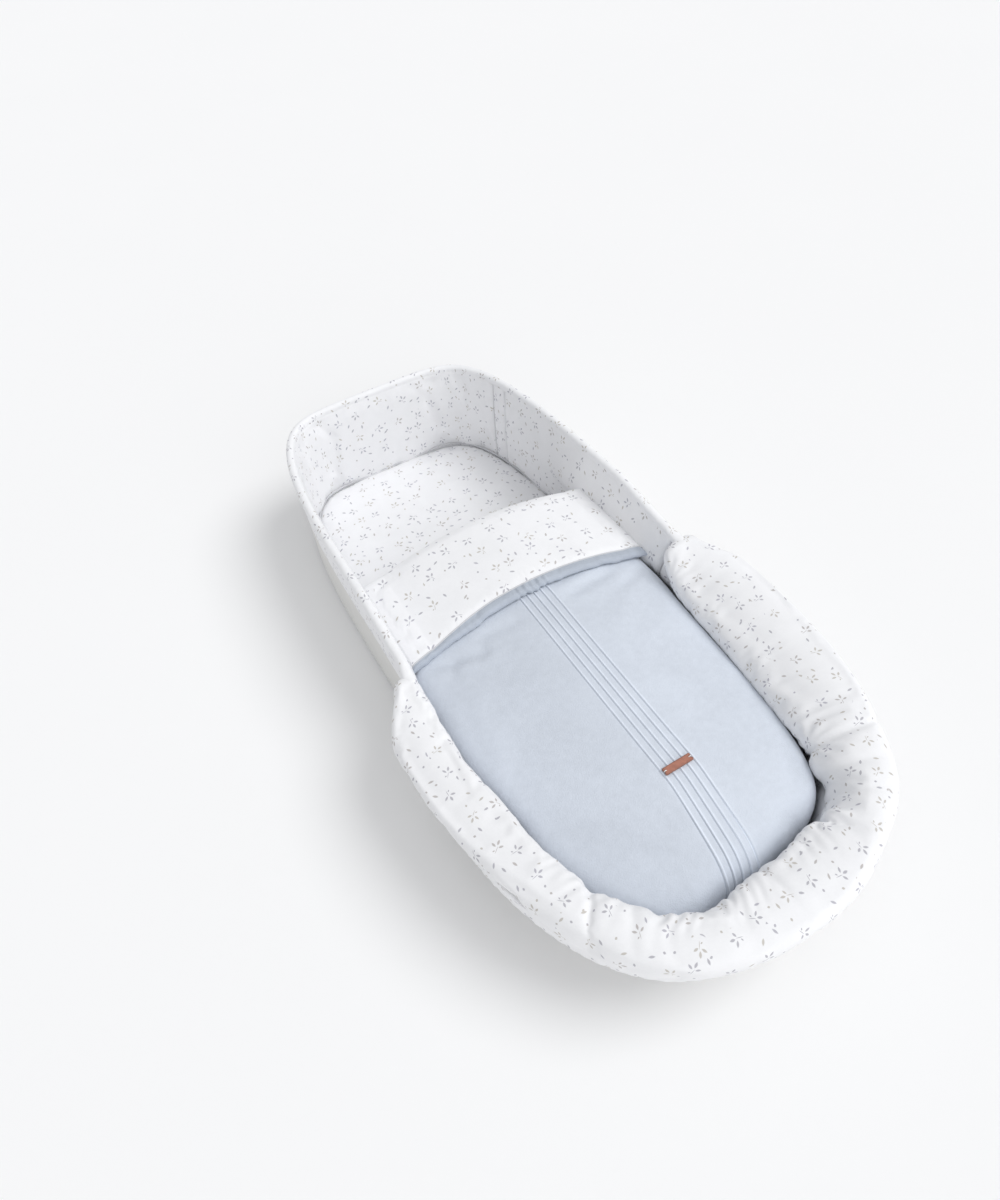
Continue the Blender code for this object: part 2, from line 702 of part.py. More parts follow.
def zip_line(head_reach):
    """Rows (y, zip middle, wall face) of the right zip, straight and then bending in at the foot."""
    wall_y = []
    wall_x = []
    for place in wall_places(-ROLL_START + GAP, ROLL_START):
        if place > 0:
            share = (ZIP_Z - WALL_FOOT_Z) / (roll_underside(place, -WALL_BACK) - WALL_FOOT_Z)
            face = rim(place, -wall_inset(share) - GAP, ZIP_Z)
            wall_y.append(face.y)
            wall_x.append(face.x)
    start = HINGE_Y + ZIP_FOOT_MARGIN
    end = WIDEST_Y + head_reach
    straight_end = WIDEST_Y + SLIDER_REST_REACH - SLIDER_TRAVEL - SLIDER_LENGTH
    rows = sorted([start, straight_end, end] + [y for y in wall_y if start < y < end])
    walls_at = np.interp(rows, wall_y, wall_x)
    return [(y, min(ZIP_X, x - ZIP_WALL_ROOM), x) for y, x in zip(rows, walls_at)]


def ribbon(name, edges, half_height, colour):
    """Flat strip between two edges, given as rows of (x, y) places at the zip's height."""
    upper = [[Vector((x, y, ZIP_Z + half_height)) for x, y in row] for row in edges]
    lower = [[Vector((x, y, ZIP_Z - half_height)) for x, y in row] for row in edges]
    return slab(name, upper, lower, colour)


def liner_zip(side, name):
    """Tape and coil sewn to the wall, with a stop at the coil's head end."""
    tape = []
    coil = []
    near = ZIP_HALF_GAP
    far = ZIP_HALF_GAP + COIL_WIDTH
    for y, middle, wall in zip_line(SLIDER_REST_REACH + SLIDER_LENGTH / 2):
        coil.append([(side * (middle + near), y), (side * (middle + far), y)])
        tape.append([(side * (middle + far + GAP), y), (side * wall, y)])
    ribbon(name + "_liner_tape", tape, TAPE_THICKNESS / 2, TAPE_COLOUR)
    ribbon(name + "_liner_coil", coil, COIL_HEIGHT / 2, TAPE_COLOUR)
    stop_y = WIDEST_Y + SLIDER_REST_REACH + SLIDER_LENGTH / 2 + GAP
    corners = sorted((side * (ZIP_X + near), side * (ZIP_X + far)))
    block(name + "_zip_stop", (corners[0], stop_y, ZIP_Z - COIL_HEIGHT / 2),
          (corners[1], stop_y + STOP_LENGTH, ZIP_Z + COIL_HEIGHT / 2), METAL_COLOUR, roughness=0.3)


def cover_zip(side, name):
    """Tape and coil sewn under the cover's hem."""
    tape = []
    coil = []
    near = ZIP_HALF_GAP
    far = ZIP_HALF_GAP + COIL_WIDTH
    for y, middle, wall in zip_line(COVER_COIL_REACH):
        hem = cover_half(y, 0.0) - TAPE_UNDER_HEM
        coil.append([(side * (middle - near), y), (side * (middle - far), y)])
        tape.append([(side * (middle - far - GAP), y), (side * hem, y)])
    return [ribbon(name + "_cover_tape", tape, TAPE_THICKNESS / 2, TAPE_COLOUR),
            ribbon(name + "_cover_coil", coil, COIL_HEIGHT / 2, TAPE_COLOUR)]


def foot_end_tape():
    """Strip that joins the hem of the fixed foot end to the foot wall."""
    edges = []
    for place in wall_places(-ROLL_START + GAP, ROLL_START):
        share = (ZIP_Z - WALL_FOOT_Z) / (roll_underside(place, -WALL_BACK) - WALL_FOOT_Z)
        outer = rim(place, -wall_inset(share) - GAP, ZIP_Z)
        inner = rim(place, -COVER_SIDE_ROOM - TAPE_UNDER_HEM, ZIP_Z)
        if inner.y < HINGE_Y - GAP:
            edges.append([(outer.x, outer.y), (inner.x, inner.y)])
    ribbon("foot_end_tape", edges, TAPE_THICKNESS / 2, TAPE_COLOUR)


def extruded(name, outline, axis, low, high, colour, **look):
    """Closed bar from an outline in the plane across X or Y, drawn from low to high."""
    rings = []
    for place in (low, high):
        if axis == "X":
            rings.append([Vector((place, along, up)) for along, up in outline])
        else:
            rings.append([Vector((along, place, up)) for along, up in outline])
    return tube(name, rings, colour, **look)


def shape_with(piece, operation, tool):
    """Joins a tool to a piece or cuts it out; the tool is left as a hidden guide."""
    change = piece.modifiers.new(operation.title(), "BOOLEAN")
    change.operation = operation
    change.object = tool
    tool.hide_render = True
    tool.display_type = "WIRE"


def slider(side, name):
    """Zip slider: two lipped plates on a thin post between the coils, with a bridge on top."""
    inside_z = COIL_HEIGHT / 2 + SLIDER_RUN_GAP
    outside_z = inside_z + SLIDER_PLATE
    lip_x = ZIP_HALF_GAP + COIL_WIDTH + SLIDER_RUN_GAP
    edge_x = lip_x + SLIDER_LIP
    lip_z = TAPE_THICKNESS / 2 + SLIDER_RUN_GAP
    post_x = SLIDER_POST / 2
    quarter = [(edge_x, outside_z), (edge_x, lip_z), (lip_x, lip_z), (lip_x, inside_z), (post_x, inside_z)]
    lower = [(x, -z) for x, z in reversed(quarter)]
    right = quarter + lower
    outline = right + [(-x, z) for x, z in reversed(right)]
    half = SLIDER_LENGTH / 2
    body = extruded(name, outline, "Y", -half, half, METAL_COLOUR, roughness=0.3, metallic=1.0)
    low = outside_z - SLIDER_PLATE / 2
    hole_top = outside_z + BRIDGE_HOLE
    top = hole_top + BRIDGE_BAR
    reach = BRIDGE_LENGTH / 2
    hole = reach - BRIDGE_FOOT
    arch = [(-reach, low), (-reach, hole_top), (-hole, top), (hole, top), (reach, hole_top), (reach, low),
            (hole, low), (hole, hole_top), (-hole, hole_top), (-hole, low)]
    bridge = extruded(name + "_bridge_guide", arch, "X", -BRIDGE_WIDTH / 2, BRIDGE_WIDTH / 2, METAL_COLOUR)
    shape_with(body, "UNION", bridge)
    place = Vector((side * ZIP_X, WIDEST_Y + SLIDER_REST_REACH, ZIP_Z))
    body.location = place
    bridge.location = place
    return body, place + Vector((0.0, 0.0, outside_z + BRIDGE_HOLE / 2))


def puller(name, pivot):
    """Flat puller whose end bar turns under the slider's bridge."""
    half = PULLER_BAR / 2
    tab = block(name, (-PULLER_WIDTH / 2, -half, -half), (PULLER_WIDTH / 2, PULLER_LENGTH, half),
                METAL_COLOUR, roughness=0.3, metallic=1.0)
    window = block(name + "_window_guide", (-PULLER_WINDOW_WIDTH / 2, half, -half - OVERRUN),
                   (PULLER_WINDOW_WIDTH / 2, half + PULLER_WINDOW_LENGTH, half + OVERRUN), METAL_COLOUR)
    shape_with(tab, "DIFFERENCE", window)
    tab.location = pivot
    window.location = pivot
    return tab


def zips():
    """Both side zips; returns the halves that move with the cover."""
    moving = []
    for side, name in ((-1, "left"), (1, "right")):
        liner_zip(side, name)
        moving += cover_zip(side, name)
        body, pivot = slider(side, name + "_slider")
        puller(name + "_puller", pivot)
    foot_end_tape()
    return moving


# Joints

def hinge_at(name, place, pieces, parent=None):
    """Empty on a joint's axis that carries its pieces."""
    pivot = bpy.data.objects.new(name, None)
    bpy.context.scene.collection.objects.link(pivot)
    pivot.location = place
    if parent:
        pivot.parent = parent
        pivot.location = place - parent.location
    for piece in pieces:
        piece.parent = pivot
        piece.location = -place
    return pivot


def main():
    for old in list(bpy.data.objects):
        bpy.data.objects.remove(old, do_unlink=True)
    base_pad()
    walls()
    rim_roll()
    rim_skirt()
    cover_pieces = cover() + zips()
    cover_hinge = hinge_at("cover_hinge", Vector((0.0, HINGE_Y, HINGE_Z)), cover_pieces)
    hinge_at("cuff_fold", Vector((0.0, FOLD_Y, FOLD_Z)), cuff(), cover_hinge)


main()
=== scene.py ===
"""Carrycot footmuff: padded liner with a stuffed rim roll, and a zip-on cover with a fold-over cuff.

Metres, +Z up, +Y to the head end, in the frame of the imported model.
"""

import bpy
import numpy as np
from mathutils import Matrix, Vector


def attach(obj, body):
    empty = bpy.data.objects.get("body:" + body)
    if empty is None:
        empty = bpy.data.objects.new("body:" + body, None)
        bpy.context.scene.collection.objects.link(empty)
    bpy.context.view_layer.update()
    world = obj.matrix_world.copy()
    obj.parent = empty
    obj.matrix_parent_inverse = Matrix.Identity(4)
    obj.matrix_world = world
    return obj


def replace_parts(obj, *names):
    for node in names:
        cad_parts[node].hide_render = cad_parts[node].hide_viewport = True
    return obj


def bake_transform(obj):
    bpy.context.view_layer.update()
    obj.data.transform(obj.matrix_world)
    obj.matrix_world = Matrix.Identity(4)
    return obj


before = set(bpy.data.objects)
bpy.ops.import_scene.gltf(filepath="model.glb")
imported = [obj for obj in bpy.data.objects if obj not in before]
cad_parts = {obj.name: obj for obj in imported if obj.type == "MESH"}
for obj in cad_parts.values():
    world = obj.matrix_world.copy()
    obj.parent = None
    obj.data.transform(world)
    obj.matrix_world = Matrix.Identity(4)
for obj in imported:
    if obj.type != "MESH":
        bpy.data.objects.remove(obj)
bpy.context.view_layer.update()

# Camera: it stands at the foot end, to the left, and looks down over the cover to the head end.
# Its place comes from the rim line, the cover's edges and the label in the photograph.
CAMERA_PLACE = (-0.3120, -0.5410, 0.8270)
VIEW_AZIMUTH = np.radians(-26.13)
VIEW_ELEVATION = np.radians(48.77)
VIEW_ROLL = np.radians(-6.07)
FOCAL_IN_HEIGHTS = 811.4 / 1200
SENSOR_HEIGHT_MM = 36.0


def turned_camera():
    """Camera matrix from its azimuth, elevation and roll."""
    back = Vector((np.sin(VIEW_AZIMUTH) * np.cos(VIEW_ELEVATION),
                   -np.cos(VIEW_AZIMUTH) * np.cos(VIEW_ELEVATION), np.sin(VIEW_ELEVATION)))
    level = Vector((np.cos(VIEW_AZIMUTH), np.sin(VIEW_AZIMUTH), 0.0))
    upright = back.cross(level)
    right = level * np.cos(VIEW_ROLL) + upright * np.sin(VIEW_ROLL)
    up = upright * np.cos(VIEW_ROLL) - level * np.sin(VIEW_ROLL)
    turned = Matrix((right, up, back)).transposed().to_4x4()
    turned.translation = CAMERA_PLACE
    return turned


camera = bpy.data.objects.new("camera", bpy.data.cameras.new("camera"))
bpy.context.scene.collection.objects.link(camera)
camera.data.sensor_fit = "VERTICAL"
camera.data.sensor_height = SENSOR_HEIGHT_MM
camera.data.lens = SENSOR_HEIGHT_MM * FOCAL_IN_HEIGHTS
camera.data.clip_start = 0.01
camera.matrix_world = turned_camera()
bpy.context.scene.camera = camera

# Base pad: a thin quilted mattress, printed cotton over wadding on a plain cotton back.
# Its edge is sewn to the foot of the walls, and the pad swells a little between that seam and its middle.
RIM_HALF_WIDTH = 0.200
RIM_FOOT_REACH = 0.351
RIM_HEAD_REACH = 0.525
RIM_FOOT_POWER = 2.8
RIM_HEAD_POWER = 4.6
WIDEST_Y = -0.06365
PAD_INSET = 0.0298
PAD_TOP_Z = 0.0200
PAD_EDGE_DROP = 0.0030
PAD_CROWN = 0.0035


def rim_path():
    """Points along the right half of the rim line, foot middle to head middle, with their lengths."""
    turn = np.linspace(0, np.pi / 2, 1200)
    foot = (RIM_HALF_WIDTH * np.sin(turn) ** (2 / RIM_FOOT_POWER), RIM_FOOT_REACH * np.cos(turn) ** (2 / RIM_FOOT_POWER))
    head = (RIM_HALF_WIDTH * np.sin(turn) ** (2 / RIM_HEAD_POWER), RIM_HEAD_REACH * np.cos(turn) ** (2 / RIM_HEAD_POWER))
    x = np.concatenate([foot[0], head[0][-2::-1]])
    y = np.concatenate([-foot[1], head[1][-2::-1]]) + WIDEST_Y
    length = np.concatenate([[0.0], np.cumsum(np.hypot(np.diff(x), np.diff(y)))])
    return x, y, length


PATH_X, PATH_Y, PATH_LENGTH = rim_path()
PATH_TURN = np.unwrap(np.arctan2(np.gradient(PATH_Y, PATH_LENGTH), np.gradient(PATH_X, PATH_LENGTH)))
HALF_RIM = PATH_LENGTH[-1]


def rim(station, out, z):
    """Points beside the rim line: station is the length from the foot middle, positive to the right."""
    station, out, z = np.broadcast_arrays(np.asarray(station, float), out, z)
    past = np.abs(station) > HALF_RIM
    along = np.where(past, 2 * HALF_RIM - np.abs(station), np.abs(station))
    side = np.where((station >= 0) ^ past, 1.0, -1.0)
    x = np.interp(along, PATH_LENGTH, PATH_X)
    y = np.interp(along, PATH_LENGTH, PATH_Y)
    turn = np.interp(along, PATH_LENGTH, PATH_TURN)
    return np.stack([side * (x + out * np.sin(turn)), y - out * np.cos(turn), z], axis=-1)


def smooth_step(value):
    """0 below 0, 1 above 1, and a soft rise between."""
    value = np.clip(value, 0.0, 1.0)
    return value * value * (3 - 2 * value)


class Pattern:
    """Panels of cloth joined into one mesh. Each corner keeps its place on the flat cut, in metres."""

    def __init__(self):
        self.points, self.faces, self.places, self.finishes = [], [], [], []

    def panel(self, points, places, finish=0, closed=False, flip=False):
        """Grid of points with their flat places; a closed one joins its last column to its first."""
        rows, columns = points.shape[:2]
        numbers = len(self.points) + np.arange(rows * columns).reshape(rows, columns)
        self.points.extend(points.reshape(-1, 3).tolist())
        if closed:
            numbers = np.column_stack([numbers, numbers[:, 0]])
        self.join(numbers, places, finish, flip)
        return numbers

    def join(self, numbers, places, finish=0, flip=False):
        """Faces over a grid of point numbers that were made before."""
        corners = [(0, 0), (0, 1), (1, 1), (1, 0)]
        if flip:
            corners.reverse()
        rows, columns = numbers.shape
        cell = [(slice(i, rows - 1 + i), slice(j, columns - 1 + j)) for i, j in corners]
        faces = np.stack([numbers[part] for part in cell], -1).reshape(-1, 4)
        self.faces.extend(faces.tolist())
        self.places.extend(np.stack([places[part] for part in cell], -2).reshape(-1, 2).tolist())
        self.finishes.extend([finish] * len(faces))

    def cap(self, numbers, places, finish=0, flip=False):
        """One face over a ring of point numbers."""
        order = list(range(len(numbers)))
        if flip:
            order.reverse()
        self.faces.append([int(numbers[i]) for i in order])
        self.places.extend([[float(value) for value in places[i]] for i in order])
        self.finishes.append(finish)

    def made(self, name, *materials):
        """The sewn piece as an object, with one material for each finish."""
        mesh = bpy.data.meshes.new(name)
        mesh.from_pydata(self.points, [], self.faces)
        cut = mesh.uv_layers.new(name="cut")
        cut.data.foreach_set("uv", np.array(self.places, np.float32).ravel())
        for material in materials:
            mesh.materials.append(material)
        mesh.polygons.foreach_set("material_index", self.finishes)
        mesh.polygons.foreach_set("use_smooth", [True] * len(self.faces))
        piece = bpy.data.objects.new(name, mesh)
        bpy.context.scene.collection.objects.link(piece)
        return piece


def points_of(mesh):
    """The mesh's points as an array."""
    values = np.empty(len(mesh.vertices) * 3)
    mesh.vertices.foreach_get("co", values)
    return values.reshape(-1, 3)


def swell(piece, held, pressure, cap, frames=16, stiffness=12.0, bending=0.4, slack=0.0):
    """Stuffs a sewn piece: its cloth swells under pressure, fast where held is 1, and moves no further than cap."""
    start = points_of(piece.data)
    group = piece.vertex_groups.new(name="held")
    for share in np.unique(np.round(held, 1)):
        if share > 0:
            group.add(np.flatnonzero(np.round(held, 1) == share).tolist(), float(share), "REPLACE")
    cloth = piece.modifiers.new("stuffing", "CLOTH")
    cloth.settings.quality = 6
    cloth.settings.mass = 0.25
    cloth.settings.air_damping = 3.0
    cloth.settings.tension_stiffness = stiffness
    cloth.settings.compression_stiffness = stiffness
    cloth.settings.shear_stiffness = stiffness / 2
    cloth.settings.bending_stiffness = bending
    cloth.settings.vertex_group_mass = "held"
    cloth.settings.pin_stiffness = 4.0
    cloth.settings.shrink_min = -slack
    cloth.settings.use_pressure = True
    cloth.settings.uniform_pressure_force = pressure
    cloth.settings.effector_weights.gravity = 0.0
    cloth.collision_settings.use_self_collision = False
    cloth.point_cache.frame_start = 1
    cloth.point_cache.frame_end = frames
    for number in range(1, frames + 1):
        bpy.context.scene.frame_set(number)
    swollen = points_of(piece.evaluated_get(bpy.context.evaluated_depsgraph_get()).data)
    piece.modifiers.remove(cloth)
    piece.vertex_groups.remove(group)
    bpy.context.scene.frame_set(1)
    move = swollen - start
    length = np.linalg.norm(move, axis=1, keepdims=True)
    move *= np.minimum(1.0, cap / np.maximum(length, 1e-9))
    piece.data.vertices.foreach_set("co", (start + move).ravel())
    piece.data.update()


def soften(piece, levels=1):
    """Rounds a cloth piece with one subdivision."""
    rounding = piece.modifiers.new("rounding", "SUBSURF")
    rounding.levels = levels
    rounding.render_levels = levels


def feed(tree, socket, value):
    """Links a socket to the input, or sets the input to a value."""
    if isinstance(value, bpy.types.NodeSocket):
        tree.links.new(value, socket)
    else:
        socket.default_value = value


def node(tree, kind, inputs=None, **settings):
    """New node with its settings, its inputs linked or set; returns its outputs."""
    made = tree.nodes.new(kind)
    for name, value in settings.items():
        setattr(made, name, value)
    for name, value in (inputs or {}).items():
        feed(tree, made.inputs[name], value)
    return made.outputs


def maths(tree, operation, *values):
    made = tree.nodes.new("ShaderNodeMath")
    made.operation = operation
    for socket, value in zip(made.inputs, values):
        feed(tree, socket, value)
    return made.outputs[0]


def vector_maths(tree, operation, *values):
    made = tree.nodes.new("ShaderNodeVectorMath")
    made.operation = operation
    for socket, value in zip(made.inputs, values):
        feed(tree, socket, value)
    return made.outputs["Value" if operation == "LENGTH" else "Vector"]


def effect(name, inputs, outputs):
    """Empty node group with named ends; returns it, what comes in and what goes out."""
    group = bpy.data.node_groups.new(name, "ShaderNodeTree")
    for label, (kind, value) in inputs.items():
        socket = group.interface.new_socket(name=label, in_out="INPUT", socket_type="NodeSocket" + kind)
        if value is not None:
            socket.default_value = value
    for label, kind in outputs.items():
        group.interface.new_socket(name=label, in_out="OUTPUT", socket_type="NodeSocket" + kind)
    came = group.nodes.new("NodeGroupInput").outputs
    goes = group.nodes.new("NodeGroupOutput").inputs
    return group, came, goes


def placed(tree, group, **inputs):
    """An effect put into a material with its own values; returns its outputs."""
    made = tree.nodes.new("ShaderNodeGroup")
    made.node_tree = group
    for name, value in inputs.items():
        feed(tree, made.inputs[name.replace("_", " ")], value)
    return made.outputs


def ranged(tree, value, low, high, to_low=0.0, to_high=1.0):
    return node(tree, "ShaderNodeMapRange", {"Value": value, "From Min": low, "From Max": high,
                                             "To Min": to_low, "To Max": to_high})[0]


def print_leaf_effect():
    """One pointed leaf: 1 on the leaf and 0 off it."""
    group, came, goes = effect("print_leaf", {"Place": ("Vector", None), "Centre": ("Vector", None),
                                              "Angle": ("Float", 0.0), "Half size": ("Vector", None)},
                               {"Mask": "Float"})
    moved = vector_maths(group, "SUBTRACT", came["Place"], came["Centre"])
    turned = node(group, "ShaderNodeVectorRotate", {"Vector": moved, "Angle": came["Angle"]},
                  rotation_type="Z_AXIS", invert=True)[0]
    x, y, _ = node(group, "ShaderNodeSeparateXYZ",
                   {"Vector": vector_maths(group, "DIVIDE", turned, came["Half size"])})
    shape = maths(group, "ADD", maths(group, "MULTIPLY", x, x), maths(group, "ABSOLUTE", y))
    feed(group, goes["Mask"], ranged(group, shape, 0.62, 1.18, 1.0, 0.0))
    return group


PRINT_LEAF = print_leaf_effect()


def scatter(tree, place, pitch, wander, seed):
    """Jittered grid: the turned place inside each cell, and three random numbers of that cell."""
    cells = vector_maths(tree, "ADD", vector_maths(tree, "DIVIDE", place, (pitch, pitch, 1.0)),
                         (0.37 * seed, 0.61 * seed, 0.0))
    number = vector_maths(tree, "ADD", vector_maths(tree, "FLOOR", cells), (0.0, 0.0, float(seed)))
    inside = vector_maths(tree, "SUBTRACT", vector_maths(tree, "FRACTION", cells), (0.5, 0.5, 0.0))
    random = node(tree, "ShaderNodeTexWhiteNoise", {"Vector": number}, noise_dimensions="3D")
    shift = vector_maths(tree, "SUBTRACT", random["Color"], (0.5, 0.5, 0.5))
    shift = vector_maths(tree, "MULTIPLY", shift, (wander, wander, 0.0))
    local = vector_maths(tree, "MULTIPLY", vector_maths(tree, "SUBTRACT", inside, shift), (pitch, pitch, 0.0))
    turned = node(tree, "ShaderNodeVectorRotate",
                  {"Vector": local, "Angle": maths(tree, "MULTIPLY", random["Value"], 2 * np.pi)},
                  rotation_type="Z_AXIS")[0]
    return turned, node(tree, "ShaderNodeSeparateColor", {"Color": random["Color"]})


PRINT_SCALE = 0.92
SPRIG_LEAVES = ((0.0002, 0.0058, 88.0, 0.0034, 0.00150), (-0.0043, 0.0022, 152.0, 0.0033, 0.00135),
                (0.0044, 0.0016, 30.0, 0.0030, 0.00135), (0.0004, -0.0026, 84.0, 0.0046, 0.00038),
                (-0.0022, -0.0044, 218.0, 0.0016, 0.0008))


def leaf_on(tree, place, x, y, degrees, half_length, half_width):
    return placed(tree, PRINT_LEAF, Place=place, Centre=(x, y, 0.0), Angle=float(np.radians(degrees)),
                  Half_size=(half_length, half_width, 1.0))["Mask"]


def sprig_print_effect():
    """Ditsy print: small three-leaf sprigs with single leaves and buds between them."""
    group, came, goes = effect("sprig_print", {"Place": ("Vector", None)}, {"Ink": "Float", "Tint": "Color"})
    cloth = vector_maths(group, "DIVIDE", came["Place"], (PRINT_SCALE, PRINT_SCALE, 1.0))
    sprig_place, sprig_random = scatter(group, cloth, 0.0370, 0.56, 1)
    sprig = 0.0
    for leaf in SPRIG_LEAVES:
        sprig = maths(group, "MAXIMUM", sprig, leaf_on(group, sprig_place, *leaf))
    clear = ranged(group, vector_maths(group, "LENGTH", sprig_place), 0.0115, 0.0125)
    leaf_place, leaf_random = scatter(group, cloth, 0.0178, 0.50, 5)
    single = leaf_on(group, leaf_place, 0.0, 0.0, 25.0, 0.0037, 0.0014)
    single = maths(group, "MULTIPLY", single, maths(group, "GREATER_THAN", leaf_random["Blue"], 0.50))
    bud_place, bud_random = scatter(group, cloth, 0.0160, 0.55, 9)
    bud = leaf_on(group, bud_place, 0.0, 0.0, 70.0, 0.0018, 0.0014)
    bud = maths(group, "MULTIPLY", bud, maths(group, "GREATER_THAN", bud_random["Blue"], 0.66))
    loose = maths(group, "MULTIPLY", maths(group, "MAXIMUM", single, bud), clear)
    tone = node(group, "ShaderNodeMix", {0: maths(group, "GREATER_THAN", sprig, 0.05),
                                         2: leaf_random["Red"], 3: sprig_random["Blue"]})[0]
    ramp = group.nodes.new("ShaderNodeValToRGB")
    ramp.color_ramp.interpolation = "CONSTANT"
    tints = ((0.0, (0.31, 0.30, 0.35)), (0.34, (0.38, 0.34, 0.32)), (0.56, (0.33, 0.32, 0.39)),
             (0.76, (0.45, 0.41, 0.35)))
    while len(ramp.color_ramp.elements) < len(tints):
        ramp.color_ramp.elements.new(1.0)
    for element, (place, colour) in zip(ramp.color_ramp.elements, tints):
        element.position = place
        element.color = (*colour, 1.0)
    feed(group, ramp.inputs[0], tone)
    feed(group, goes["Tint"], ramp.outputs[0])
    feed(group, goes["Ink"], maths(group, "MAXIMUM", sprig, loose))
    return group


SPRIG_PRINT = sprig_print_effect()


def woven_effect():
    """Plain weave with soft rumples: a height over the cloth, and a small change of tone."""
    group, came, goes = effect("woven_cloth", {"Place": ("Vector", None), "Thread": ("Float", 0.0008),
                                               "Rumple": ("Float", 1.0), "Weave": ("Float", 0.1)},
                               {"Height": "Float", "Tone": "Float"})
    x, y, _ = node(group, "ShaderNodeSeparateXYZ", {"Vector": came["Place"]})
    waves = []
    for along in (x, y):
        turns = maths(group, "DIVIDE", along, came["Thread"])
        waves.append(maths(group, "SINE", maths(group, "MULTIPLY", turns, np.pi)))
    weave = maths(group, "MULTIPLY", maths(group, "MULTIPLY", waves[0], waves[1]), came["Weave"])
    solid = node(group, "ShaderNodeTexCoord")["Object"]
    broad = node(group, "ShaderNodeTexNoise", {"Vector": solid, "Scale": 34.0, "Detail": 3.0,
                                               "Roughness": 0.55, "Distortion": 0.6})["Fac"]
    fine = node(group, "ShaderNodeTexNoise", {"Vector": solid, "Scale": 420.0, "Detail": 2.0})["Fac"]
    rumple = maths(group, "MULTIPLY", broad, came["Rumple"])
    height = maths(group, "ADD", maths(group, "ADD", weave, rumple), maths(group, "MULTIPLY", fine, 0.12))
    feed(group, goes["Height"], height)
    feed(group, goes["Tone"], ranged(group, maths(group, "ADD", broad, maths(group, "MULTIPLY", fine, 0.5)),
                                     0.5, 1.0, 0.975, 1.02))
    return group


WOVEN = woven_effect()


def plain_material(name, roughness, sheen=0.0, metallic=0.0):
    """Material with its shader, and its tree to build in."""
    made = bpy.data.materials.new(name)
    made.use_nodes = True
    shader = made.node_tree.nodes["Principled BSDF"]
    shader.inputs["Roughness"].default_value = roughness
    shader.inputs["Sheen Weight"].default_value = sheen
    shader.inputs["Sheen Roughness"].default_value = 0.5
    shader.inputs["Metallic"].default_value = metallic
    return made, made.node_tree, shader


def toned(tree, colour, tone):
    """A colour made a little lighter or darker by a tone that changes over the surface."""
    return vector_maths(tree, "MULTIPLY", colour, node(tree, "ShaderNodeCombineXYZ",
                                                       {"X": tone, "Y": tone, "Z": tone})[0])


def cotton(name, colour, printed, rumple=1.0, thread=0.0008, bump=0.35):
    """Woven cotton, plain or with the ditsy print."""
    made, tree, shader = plain_material(name, 0.88, sheen=0.12)
    place = node(tree, "ShaderNodeUVMap", uv_map="cut")[0]
    woven = placed(tree, WOVEN, Place=place, Rumple=rumple, Thread=thread)
    shade = toned(tree, colour, woven["Tone"])
    if printed:
        ink = placed(tree, SPRIG_PRINT, Place=place)
        share = maths(tree, "MULTIPLY", ink["Ink"], 0.70)
        mixed = tree.nodes.new("ShaderNodeMix")
        mixed.data_type = "RGBA"
        feed(tree, mixed.inputs[0], share)
        feed(tree, mixed.inputs[6], shade)
        feed(tree, mixed.inputs[7], ink["Tint"])
        shade = mixed.outputs[2]
    feed(tree, shader.inputs["Base Color"], shade)
    bumps = node(tree, "ShaderNodeBump", {"Strength": bump, "Distance": 0.0008, "Height": woven["Height"]})
    feed(tree, shader.inputs["Normal"], bumps[0])
    return made


PRINT_COTTON = cotton("print_cotton", (0.892, 0.895, 0.910), True)
PLAIN_COTTON = cotton("plain_cotton", (0.760, 0.755, 0.735), False, rumple=0.6, thread=0.0011)
# Piping cotton: its mid grey is partly painted shade, for the dark line where pad and wall meet.
GREY_PIPING_WITH_PAINTED_SHADE = cotton("seam_cotton_partly_painted_shade", (0.600, 0.610, 0.630), False, rumple=0.3, thread=0.0006)


def pad_ring(share, z, count):
    """One loop of the pad's outline, drawn in towards the pad's middle by a share."""
    ring = rim(np.linspace(-HALF_RIM, HALF_RIM, count, endpoint=False), -PAD_INSET, z)
    middle = np.array([0.0, (RIM_HEAD_REACH - RIM_FOOT_REACH) / 2 + WIDEST_Y, z])
    return middle + (ring - middle) * (1 - share)


